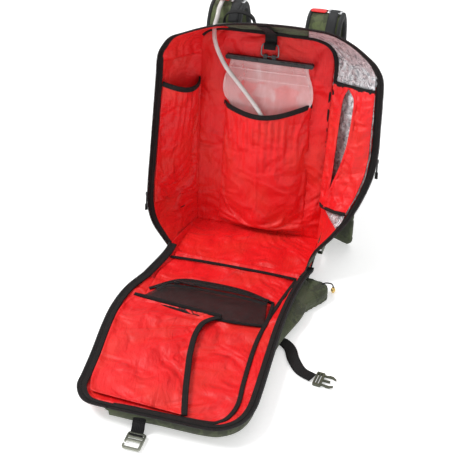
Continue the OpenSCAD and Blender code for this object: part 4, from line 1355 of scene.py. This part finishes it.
class PACK_OT_tray(bpy.types.Operator):
    """Makes the lined walls, floor and outer cloth of the open front panel"""

    bl_idname = "pack.tray"
    bl_label = "Front panel"

    def execute(self, context):
        inner = Piece("tray_walls", "lining")
        relief = rumpled(1.3, 2.2, 0.25, 30)
        inner.sheet(between(TRAY_SEAM, TRAY_RIM, 4), (760, 44), (190, 18), 0, lambda u, v, p: relief(0.5, v, p) - 1.2)
        made = solid(inner.object(), 1.2)
        on_body(made, "front_panel", ("front_lining",))
        left = Piece("tray_left_wall", "lining", "shell")
        left.sheet(between(LEFT_SEAM, LEFT_RIM, 2), (440, 36), (110, 14), 0,
                   lambda u, v, p: relief(0.5, v, p) - 1.2 - 1.2 * v)
        on_body(solid(left.object(), 2.6, 0, back=1), "tray_left", ("panel_side_wall",))

        floor = Piece("tray_floor", "lining")

        def ground(u, v):
            y = mix(-166, -608, v)
            k = min((abs(TRAY_SEAM.knot(q / 8).y * 1000 - y), q / 8) for q in range(0, 74))[1]
            right = TRAY_SEAM.knot(k).x * 1000 + 1 if y > -604 else 80
            return at(mix(-150, right, u), y, 21.3)

        floor.sheet(ground, (262, 442), (58, 96), 0, rumpled(2.2, 9.2, 0.03, 20))
        made = solid(floor.object(), 1.0)
        on_body(made, "front_panel", ())

        outer = Piece("tray_cloth", "shell")

        def side(u, v):
            rim = TRAY_RIM.knot(u * TRAY_RIM.spans)
            seam = TRAY_SEAM.knot(u * TRAY_RIM.spans)
            out = ((rim - seam) * Vector((1, 1, 0))).normalized()
            full = 31 * math.exp(-(((rim.y * 1000 + 255) / 95) ** 2)) if rim.x > 0.1 else 0
            if v < 0.55:
                s = v / 0.55
                return (rim + out * (2.2 + 1.6 * math.sin(math.pi * s) + full * math.sin(math.pi * s / 2)) / 1000
                        - at(0, 0, 1.5 + 19.5 * s))
            s = (v - 0.55) / 0.45
            return (rim + out * (2.2 - 24 * s + full * (1 - s)) / 1000
                    - at(0, 0, 21 + 2.2 * ramp(s, 0, 0.3) + 0.36 * full * math.sin(math.pi * s)))

        outer.sheet(side, (790, 48), (180, 16), 0, lambda u, v, p: -0.8 * rumple(p, 22, 3))
        on_body(solid(outer.object(), 1.6), "front_panel", ("front_shell",))
        under = Piece("tray_under", "shell")
        under.sheet(lambda u, v: at(mix(-148, 136, u) * (1 - 0.3 * ramp(v, 0.86, 1.0) ** 2), mix(-156, -618, v), 16.4),
                    (284, 462), (24, 60))
        on_body(solid(under.object(), 1.6), "front_panel", ())

        def quilt(co, normal):
            if normal.z > -0.5:
                return 0
            x, y = co.x * 1000, co.y * 1000
            groove = 0
            for seam_y in (-300, -470):
                groove -= 2.2 * math.exp(-((y - seam_y) / 4) ** 2)
            for seam_x in (-96, 96):
                groove -= 2.2 * math.exp(-((x - seam_x) / 4) ** 2)
            return groove

        pocket = padded("tool_pocket_pad", "tool_pocket", ("shell",), lambda p, n: 0, 5.5, 3.0, 8, 3.0, quilt, 1, 1.0)
        on_body(pocket, "front_panel", ("tool_pocket",))
        self.trims()
        return {"FINISHED"}

    def trims(self):
        rim = Piece("tray_rim", "trim", "tape", "coil", "thread")
        rim_parts(rim, TRAY_RIM, inward_of(TRAY_SEAM, TRAY_RIM))
        on_body(rim.object(), "front_panel", ("front_zip_track",))
        rim = Piece("tray_left_rim", "trim", "tape", "coil", "thread")
        rim_parts(rim, LEFT_RIM, inward_of(LEFT_SEAM, LEFT_RIM))
        on_body(rim.object(), "tray_left", ("panel_side_zip_track",))
        folds = Piece("fold_rims", "trim", "tape", "coil", "thread")
        gores = Piece("fold_gores", "lining", "shell")
        right = Line([at(152, -141, 38.5), at(152, -150, 36), at(149, -162, 36.5), at(146, -176, 37.5)])
        left = Line([at(-166, -246, 27), at(-158, -212, 28.5), at(-150, -178, 31), at(-147, -158, 33),
                     at(-146, -141, 36)])
        rim_parts(folds, right, lambda share, point: Vector((-1, 0, -0.2)))
        rim_parts(folds, left, lambda share, point: Vector((1, 0, -0.2)))
        for side, line in ((1, right), (-1, left)):
            gores.sheet(lambda u, v: line.at(1 - u) + at(-side * 16 * v - side, 0, -16 * v**0.8), (60, 22), (24, 8), 0)
        on_body(folds.object(), "fold", ())
        on_body(solid(gores.object(), 1.6, 0, back=1), "fold", ())
        seam = Piece("tray_seam_binding", "trim", "thread")
        lifted = Line([p + at(0, 0, 3.4) for p in TRAY_SEAM.points])
        edging(seam, lifted, 9, 2.2, inward_of(TRAY_RIM, TRAY_SEAM))
        near = Line([at(132, -172, 25.5), at(60, -168, 25), at(-60, -168, 25), at(-148, -172, 25)])
        edging(seam, near, 8, 2.0, (0, 1, 0))
        on_body(seam.object(), "front_panel", ())


class PACK_OT_aid_pocket(bpy.types.Operator):
    """Makes the large red pocket over the floor of the front panel"""

    bl_idname = "pack.aid_pocket"
    bl_label = "Floor pocket"

    left = through(((-167, -318, 28), (-179, -360, 28), (-175, -420, 28), (-163, -500, 28), (-155, -560, 28.5),
                    (-142, -597, 30)))
    right = through(((20, -333, 27), (-4, -358, 30), (-10, -396, 31), (-3, -450, 31), (7, -492, 31), (22, -550, 30),
                     (38, -604, 27)))

    def face(self, u, v):
        point = mix(self.left.at(v), self.right.at(v), u)
        edge = math.sin(math.pi * min(1, max(0, v))) ** 0.5 * math.sin(math.pi * u) ** 0.6
        point.z += (8.5 * edge + 1.5 * rumple(point, 14, 5) * edge) / 1000
        return point

    def execute(self, context):
        piece = Piece("floor_pocket", "lining")
        soft = rumpled(1.6, 3.3, 0.1, 18)

        def relief(u, v, point):
            fade = min(1.0, min(u, 1 - u, v, 1 - v) / 0.14)
            ray = math.atan2(v - 0.1, u - 1.15)
            return soft(u, v, point) + fade * (
                2.8 * math.sin(ray * 20 + 3 * rumple(point, 9, 1)) + 2.0 * rumple(point, 14, 6))

        piece.sheet(self.face, (190, 284), (72, 108), 0, relief)
        flat = piece.flat
        made = settle(piece.object(), lambda i, p: 1.0 if is_edge(flat[i]) else 0.03, 0.02, 12, 6, 0.2)
        on_body(solid(made, 1.0), "tray_left", ("aid_pocket",))
        trim = Piece("floor_pocket_binding", "trim", "thread")
        edging(trim, Line([self.face(1, i / 14) for i in range(15)]), 11.5, 3.6, (1, 0, 0))
        edging(trim, Line([self.face(i / 14, 0) + at(0, 1.5, 0.8) for i in range(15)]), 9, 4.4, (0, 1, 0))
        on_body(trim.object(), "tray_left", ())
        return {"FINISHED"}


class PACK_OT_net_pocket(bpy.types.Operator):
    """Makes the zipped net pocket at the near end of the front panel"""

    bl_idname = "pack.net_pocket"
    bl_label = "Net pocket"

    def execute(self, context):
        zip_low = through(((-132, -286, 26), (-104, -270, 31), (-40, -267.5, 32.5), (40, -267.5, 32.5), (97, -270, 30)))
        zip_high = through(((-132, -283, 26), (-104, -262, 31), (-40, -259.5, 32.5), (40, -259.5, 32.5),
                            (97, -264, 30)))
        lower = through(((-150, -308, 23), (-104, -326, 24), (-40, -336, 24), (40, -338, 24), (108, -330, 23)))
        upper = through(((-148, -284, 23), (-98, -242, 23.5), (-40, -234, 23.5), (40, -238, 23.5), (106, -258, 23)))
        net = Piece("net_pocket", "net")
        for low, high, size in ((lower, zip_low, (248, 64)), (zip_high, upper, (236, 28))):
            net.sheet(lambda u, v: mix(low.at(u), high.at(u), v)
                      + at(0, 0, 7 * math.sin(math.pi * u) ** 0.5 * math.sin(math.pi * v)),
                      size, (70, 18 if high is zip_low else 8), 0, lambda u, v, p: 1.2 * rumple(p, 30, 8))
        made = solid(net.object(), 0.6)
        on_body(made, "front_panel", ("mesh_pocket",))
        zips = Piece("net_pocket_zip", "trim", "tape", "coil", "thread")
        for line, side in ((zip_low, 1), (zip_high, -1)):
            zips.band(line, 8, 1.2, (0, 1, 0), finish=1, offset=(-3 * side, 0.6))
            zips.row(line, 1.5, (0.9, 2.6, 1.8), (0, 1, 0), 2, (1.1 * side, 0.8), slant=0.15)
            zips.row(line, 3.2, (2.0, 0.6, 0.6), (0, 1, 0), 3, (-5.5 * side, 1.2), shape="stitch")
        on_body(zips.object(), "front_panel", ("mesh_zip",))
        trim = Piece("net_pocket_binding", "trim", "thread")
        edging(trim, upper, 8, 2.4, (0, 1, 0))
        edging(trim, lower, 7, 2.4, (0, 1, 0))
        edging(trim, Line([lower.at(1), mix(lower.at(1), upper.at(1), 0.5) + at(2, 0, 3), upper.at(1)]), 7, 2.4,
               (1, 0, 0))
        on_body(trim.object(), "front_panel", ())
        return {"FINISHED"}


class PACK_OT_panel_straps(bpy.types.Operator):
    """Makes the straps, boot patch and bead of the front panel"""

    bl_idname = "pack.panel_straps"
    bl_label = "Front panel straps"

    def execute(self, context):
        top = Piece("top_strap_webbing", "webbing", "thread")
        lo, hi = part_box("top_strap")
        x = (lo.x + hi.x) * 500
        route = Line([at(x, y, z) for y, z in ((-626.5, 35), (-631.5, 31), (-634, 24.5), (-638.5, 18), (-642, 11.5),
                                               (-648, 6.4), (-653, 5.4), (-655, 3.4), (-651, 1.8), (-644, 2.2))])
        top.band(route, 24, 1.9, (1, 0, 0), steps=60)
        for y, z in ((-637, 21.8), (-639, 18.6)):
            top.row(Line([at(x - 11, y, z), at(x + 11, y, z)]), STITCH_STEP, STITCH_SIZE, (0, 0.6, 1), 1, (1, 0.6),
                    shape="stitch")
        on_body(top.object(), "front_panel", ("top_strap",))

        right = Line([at(px, py, z) for px, py, z in (
            (128, -340, 8), (141, -342, 4.6), (152, -344, 4), (167, -358, 3.6), (180, -384, 3.2), (200, -410, 3.2),
            (226, -422, 3.4))])
        left = Line([at(px, py, z) for px, py, z in (
            (-128, -297, 8), (-141, -298, 4.5), (-152, -300, 2.6), (-165, -310, 2), (-173, -330, 1.8),
            (-175, -356, 1.8), (-175, -392, 2.2))])
        straps = Piece("side_strap_webbing", "webbing", "thread")
        for line, wide in ((right, 24), (left, 20)):
            across = lambda share, point, line=line: line.tangent(share).cross(Vector((0, 0, 1)))
            straps.band(line, wide, 1.9, across, steps=60)
            for side in (-1, 1):
                straps.row(line, 3.4, (2.2, 0.7, 0.7), across, 1, (side * wide * 0.42, 1.0), 0.05, 0.95, shape="stitch")
        on_body(straps.object(), "front_panel", ("side_straps",))

        bead = Piece("bead_cord", "trim")
        cord = through(((186, -172, 27), (191, -171, 28.6), (196, -168.5, 28.5), (201, -166, 26.8), (205, -163, 23.5),
                        (207.4, -161, 18), (208, -160, 12), (208, -160, 6.5)))
        bead.tube(cord, 2.6, sides=10, steps=60)
        corded = on_body(bead.object(), "bead", ("bead_pull",))
        ball = Piece("bead_ball", "brass", "coil")
        bmesh.ops.create_uvsphere(ball.mesh, u_segments=32, v_segments=18, radius=0.005,
                                  matrix=Matrix.Translation(at(208, -160, 6.5)))
        for face in ball.mesh.faces:
            face.smooth = True
        ball.tube(Line([at(208, -160, 9), at(208, -160, 12.6)]), 6.2, 0, 20, 6)
        ball.tube(Line([at(208, -160, 0.4), at(208, -160, 2.4)]), 5.0, 0, 20, 4)
        knotted = on_body(ball.object(), "bead", ())
        path = [list(cord.at(i / 30)) for i in range(31)]
        tuple(path[0])

        boot = padded("boot_patch", "boot_gusset", ("shell", "trim"), lambda p, n: 1 if p.z < 0.009 else 0, 3.6, 3.0,
                      8, 3.5,
                      lambda co, n: -1.6 * math.exp(-((co.z - 0.009) / 0.0013) ** 2) + 1.0 * rumple(co, 40, 2), 1, 1.0)
        on_body(boot, "front_panel", ("boot_gusset",))
        return {"FINISHED"}


# ---- harness --------------------------------------------------------------------------------------

STRAP_SPOTS = [(STRAP_CURVE.at(i / 70), Vector((1, 0, 0)).cross(STRAP_CURVE.tangent(i / 70)),
                i / 70) for i in range(71)]


def strap_spot(co):
    """The nearest place on the shoulder straps' curve: its outward direction and share."""
    return min(STRAP_SPOTS, key=lambda s: (s[0].y - co.y) ** 2 + (s[0].z - co.z) ** 2)


class PACK_OT_straps(bpy.types.Operator):
    """Makes the padded shoulder straps with their webbing, sternum straps, sleeve and pocket"""

    bl_idname = "pack.straps"
    bl_label = "Shoulder straps"

    def execute(self, context):
        for side, name in ((-1, "left"), (1, "right")):
            body = name + "_strap"

            def choose(p, n):
                return 0 if n.dot(strap_spot(p)[1]) > -0.25 else 1

            def relief(co, n, side=side):
                x = abs(abs(co.x * 1000) - STRAP_X)
                groove = -1.3 * math.exp(-((x - 25) / 2.2) ** 2)
                share = strap_spot(co)[2]
                cross = -0.9 * math.exp(-((share * 12 % 1 - 0.5) / 0.05) ** 2) if x < 25 and share > 0.45 else 0
                return groove + cross + 0.35 * rumple(co, 30, side)

            pad = padded(name + "_strap_pad", name + "_shoulder_strap", ("strap", "spacer"), choose, 4.6, 4.0, 10,
                         3.2, relief, 2, 0.6)
            on_body(pad, body, (name + "_shoulder_strap",))
            trim = Piece(name + "_strap_edges", "edge", "thread")
            for edge in (-1, 1):
                line = Line([STRAP_CURVE.knot(k / 3) + at(side * STRAP_X + edge * 32.4, 0, 0) for k in range(25)],
                            fine=4)
                trim.band(line, 8.5, 15.4, (1, 0, 0), finish=0, round_=3, sides=14)
                trim.row(line, 3.6, (2.2, 0.7, 0.7), (1, 0, 0), 1, (-edge * 3.1, 7.9), shape="stitch")
            on_body(trim.object(), body, ())
            x = side * STRAP_X + (20 if side < 0 else 16)
            lifter = Piece(name + "_lifter", "edge", "thread", "stay")
            line = Line([over_strap(k, 8.6 + 1.4 * math.sin(k * 2.4), x) for k in (1, 1.5, 2, 2.4, 2.8, 3.2, 3.6, 4)])
            lifter.band(line, 20, 1.9, (1, 0, 0))
            for s in (-1, 1):
                lifter.row(line, 3.4, (2.2, 0.7, 0.7), (1, 0, 0), 1, (s * 8.2, 1.0), shape="stitch")
            self.glide(lifter, line, 0.52)
            on_body(lifter.object(), body, (name + "_load_lifter",))
            lower = Piece(name + "_lower_webbing", "webbing", "thread")
            low = Line([at(side * STRAP_X, y, z) for y, z in ((66, 104), (74, 105), (84, 110), (94, 120), (104, 131),
                                                              (112, 143), (119, 155))])
            lower.band(low, 25, 1.9, (1, 0, 0))
            for s in (-1, 1):
                lower.row(low, 3.4, (2.2, 0.7, 0.7), (1, 0, 0), 1, (s * 10.5, 1.0), shape="stitch")
            made = lower.object()
            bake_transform(made)
            if side < 0:
                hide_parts("lower_webbing")
            tail = Piece(name + "_strap_tail", "webbing", "thread")
            down = Line([at(side * STRAP_X, y, z) for y, z in ((139, 214), (134, 203), (129, 192), (125, 182),
                                                               (122.5, 175), (121, 168), (118.5, 172), (121, 182))])
            tail.band(down, 25, 1.8, (1, 0, 0))
            tail.row(Line([at(side * STRAP_X - 11, 141.5, 207), at(side * STRAP_X + 11, 141.5, 207)]), STITCH_STEP,
                     STITCH_SIZE, (0, 0, 1), 1, shape="stitch")
            on_body(tail.object(), body, ())
            sternum = merged_copy(name + "_sternum_strap", name + "_sternum", ("black_plastic", "webbing"),
                                  lambda p, n: 1 if abs(p.x * 1000) < STRAP_X - 19
                                  and abs(p.y - 0.1815) < 0.0019 else 0, 0.5)
            on_body(sternum, name + "_sternum", (name + "_sternum_strap",))

        sleeve = padded("strap_sleeve_cloth", "left_strap_sleeve", ("lining",), lambda p, n: 0, 3.6, 3.0, 8, 2.5,
                        lambda co, n: 1.1 * rumple(co, 60, 4), 1, 0.4)
        on_body(sleeve, "left_strap", ("left_strap_sleeve",))
        pocket = padded("strap_pocket_cloth", "right_strap_pocket", ("lining",), lambda p, n: 0, 3.0, 3.0, 8, 2.5,
                        lambda co, n: 0.9 * rumple(co, 60, 6), 1, 0.3)
        on_body(pocket, "right_strap", ("right_strap_pocket",))
        return {"FINISHED"}

    @staticmethod
    def glide(piece, line, share):
        """A metal tri-glide on the webbing: three bars in a frame."""
        here, along = line.at(share), line.tangent(share)
        side = Vector((1, 0, 0))
        up = along.cross(side)
        turn = Matrix.Translation(here) @ Matrix((side, along, up)).transposed().to_4x4()
        for y in (-9, 0, 9):
            piece.block((-13, y - 1.4, 0.4), (13, y + 1.4, 3.0), turn, 2, 0.8)
        for x in (-13, 13):
            piece.block((x - 1.6, -10.4, 0.4), (x + 1.6, 10.4, 3.0), turn, 2, 0.8)


class PACK_OT_hips(bpy.types.Operator):
    """Makes the padded hip wings and their buckles"""

    bl_idname = "pack.hips"
    bl_label = "Hip wings"

    def execute(self, context):
        for side, name in ((-1, "left"), (1, "right")):
            out = Vector((side * math.sin(math.radians(22)), -math.cos(math.radians(22)), 0))

            def choose(p, n):
                return 1 if n.dot(out) < -0.7 else (2 if abs(n.dot(out)) < 0.35 else 0)

            def relief(co, n):
                z = co.z * 1000
                return (-1.4 * (math.exp(-((z - 26) / 2.4) ** 2) + math.exp(-((z - 68) / 2.4) ** 2))
                        + 0.8 * rumple(co, 30, 7))

            wing = padded(name + "_wing_pad", name + "_hip_wing", ("shell", "spacer", "trim"), choose, 4.4, 4.0, 10,
                          3.5, relief, 2, 0.6)
            on_body(wing, name + "_hip", (name + "_hip_wing",))
            buckle = merged_copy(name + "_hip_buckle", name + "_belt_buckle", ("olive_plastic", "webbing"),
                                 lambda p, n: 1 if abs(p.x) * 1000 > 176 else 0, 0.6)
            on_body(buckle, name + "_hip", (name + "_hip_buckle",))
        return {"FINISHED"}


class PACK_OT_back_pads(bpy.types.Operator):
    """Makes the quilted mesh padding of the back and the lumbar pad"""

    bl_idname = "pack.back_pads"
    bl_label = "Back padding"

    def execute(self, context):
        def quilt(co, n):
            height = (co.z * 1000 - BASE_TOP) / math.cos(LEAN)
            if n.y < 0.3:
                return 0
            groove = -2.6 * math.exp(-((height % 46 - 23) / 3.2) ** 2)
            return groove - 2.0 * math.exp(-((abs(co.x * 1000) - 92) / 3.0) ** 2)

        pad = padded("back_padding", "back_pad", ("spacer", "shell"), lambda p, n: 0 if n.y > 0.35 else 1, 5.5, 3.0,
                     8, 3.0, quilt, 1, 0.8)
        on_body(pad, "pack_body", ("back_pad",))
        pad = padded("lumbar_padding", "lumbar_pad", ("spacer", "shell"),
                     lambda p, n: 0 if n.y > 0.2 and abs(p.x) < 0.09 else 1,
                     5.0, 4.0, 10, 3.5,
                     lambda co, n: -1.8 * math.exp(-((abs(co.x * 1000) - 90) / 3) ** 2) if n.y > 0.2 else 0, 2, 0.8)
        on_body(pad, "pack_body", ("lumbar_pad",))
        return {"FINISHED"}


class PACK_OT_fittings(bpy.types.Operator):
    """Makes the plastic and metal fittings, the socket tabs and the grab loop, and gives the frame's own sheet and
    stays their finishes
    """

    bl_idname = "pack.fittings"
    bl_label = "Fittings"

    def execute(self, context):
        for node, name, body, finish, edge in (
            ("left_zip_slider", "slider_left", "left_slider", "coil", 0.5),
            ("right_zip_slider", "slider_right", "right_slider", "coil", 0.5),
            ("mesh_zip_slider", "slider_net", "mesh_slider", "coil", 0.4),
            ("g_hook", "strap_hook", "hook", "hook", 0.9),
            ("side_strap_buckles", "strap_plugs", "front_panel", "olive_plastic", 0.8),
            ("side_buckle_sockets", "strap_sockets", "pack_body", "olive_plastic", 0.8),
            ("left_ladder_lock", "lock_left", "left_lock", "black_plastic", 0.7),
            ("right_ladder_lock", "lock_right", "right_lock", "black_plastic", 0.7),
        ):
            piece = merged_copy(node, name, (finish,), edge=edge)
            if node == "side_buckle_sockets":
                for vert in piece.data.vertices:
                    slope = 0.4 * max(0, -vert.co.y - 0.044)
                    vert.co.x += 0.002 if vert.co.x > 0 else -0.018 - 1.3 * slope
            on_body(piece, body, (node,))
        for node, finish in (("frame_sheet", "sheet_plastic"), ("frame_stays", "stay")):
            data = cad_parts[node].data
            data.materials.clear()
            data.materials.append(FINISH[finish])
        tabs = Piece("socket_tabs", "webbing", "thread")
        for side in (-1, 1):
            shift = 0 if side < 0 else -8
            line = Line([at(side * x, y, z) for x, y, z in ((151, -8, 49), (157 + shift / 3, -22, 49.5),
                                                            (164 + shift / 2, -36, 50),
                                                            (169 + shift * 1.4, -46, 50), (173 + shift * 1.5, -54, 50))])
            tabs.band(line, 24, 1.9, (0, 0, 1))
        on_body(tabs.object(), "pack_body", ())
        loop = Piece("grab_loop", "webbing", "thread")
        route = Line([at(-64 + x, y, z) for x, y, z in ((-32, 71, 458), (-32, 70.5, 466), (-29, 70, 476),
                                                        (-20, 70, 484),
                                                        (0, 70, 487.5), (20, 70, 484), (29, 70, 476), (32, 70.5, 466),
                                                        (32, 71, 458))])
        loop.band(route, 14, 3.0, (0, 1, 0), steps=80)
        for s in (-1, 1):
            loop.row(route, 3.4, (2.2, 0.7, 0.7), (0, 1, 0), 1, (s * 5.4, 1.5), shape="stitch")
        on_body(loop.object(), "loop", ("haul_loop",))
        return {"FINISHED"}


PIECE_OPERATORS = (
    PACK_OT_walls, PACK_OT_rims, PACK_OT_back_lining, PACK_OT_left_pocket, PACK_OT_right_pocket, PACK_OT_sleeve,
    PACK_OT_reservoir, PACK_OT_hose, PACK_OT_tray, PACK_OT_aid_pocket, PACK_OT_net_pocket, PACK_OT_panel_straps,
    PACK_OT_straps, PACK_OT_hips, PACK_OT_back_pads, PACK_OT_fittings,
)


class PACK_PT_panel(bpy.types.Panel):
    """Lists the sizes, the colours and the pieces of the pack"""

    bl_idname = "PACK_PT_panel"
    bl_label = "Ski pack"
    bl_space_type = "VIEW_3D"
    bl_region_type = "UI"
    bl_category = "Ski pack"

    def draw(self, context):
        for group, title in ((context.scene.pack_sizes, "Sizes"), (context.scene.pack_colours, "Colours")):
            box = self.layout.box()
            box.label(text=title)
            for name in group.__annotations__:
                box.prop(group, name)
        column = self.layout.column()
        for operator in (PACK_OT_stage, *PIECE_OPERATORS):
            column.operator(operator.bl_idname)


CLASSES = (PackSizes, PackColours, PACK_OT_stage, *PIECE_OPERATORS, PACK_PT_panel)


def register():
    for made in CLASSES:
        bpy.utils.register_class(made)
    bpy.types.Scene.pack_sizes = PointerProperty(type=PackSizes)
    bpy.types.Scene.pack_colours = PointerProperty(type=PackColours)


def unregister():
    del bpy.types.Scene.pack_colours
    del bpy.types.Scene.pack_sizes
    for made in reversed(CLASSES):
        bpy.utils.unregister_class(made)


def main():
    register()
    bpy.ops.pack.stage()
    for operator in PIECE_OPERATORS:
        group, name = operator.bl_idname.split(".")
        getattr(getattr(bpy.ops, group), name)()


if __name__ == "__main__":
    main()
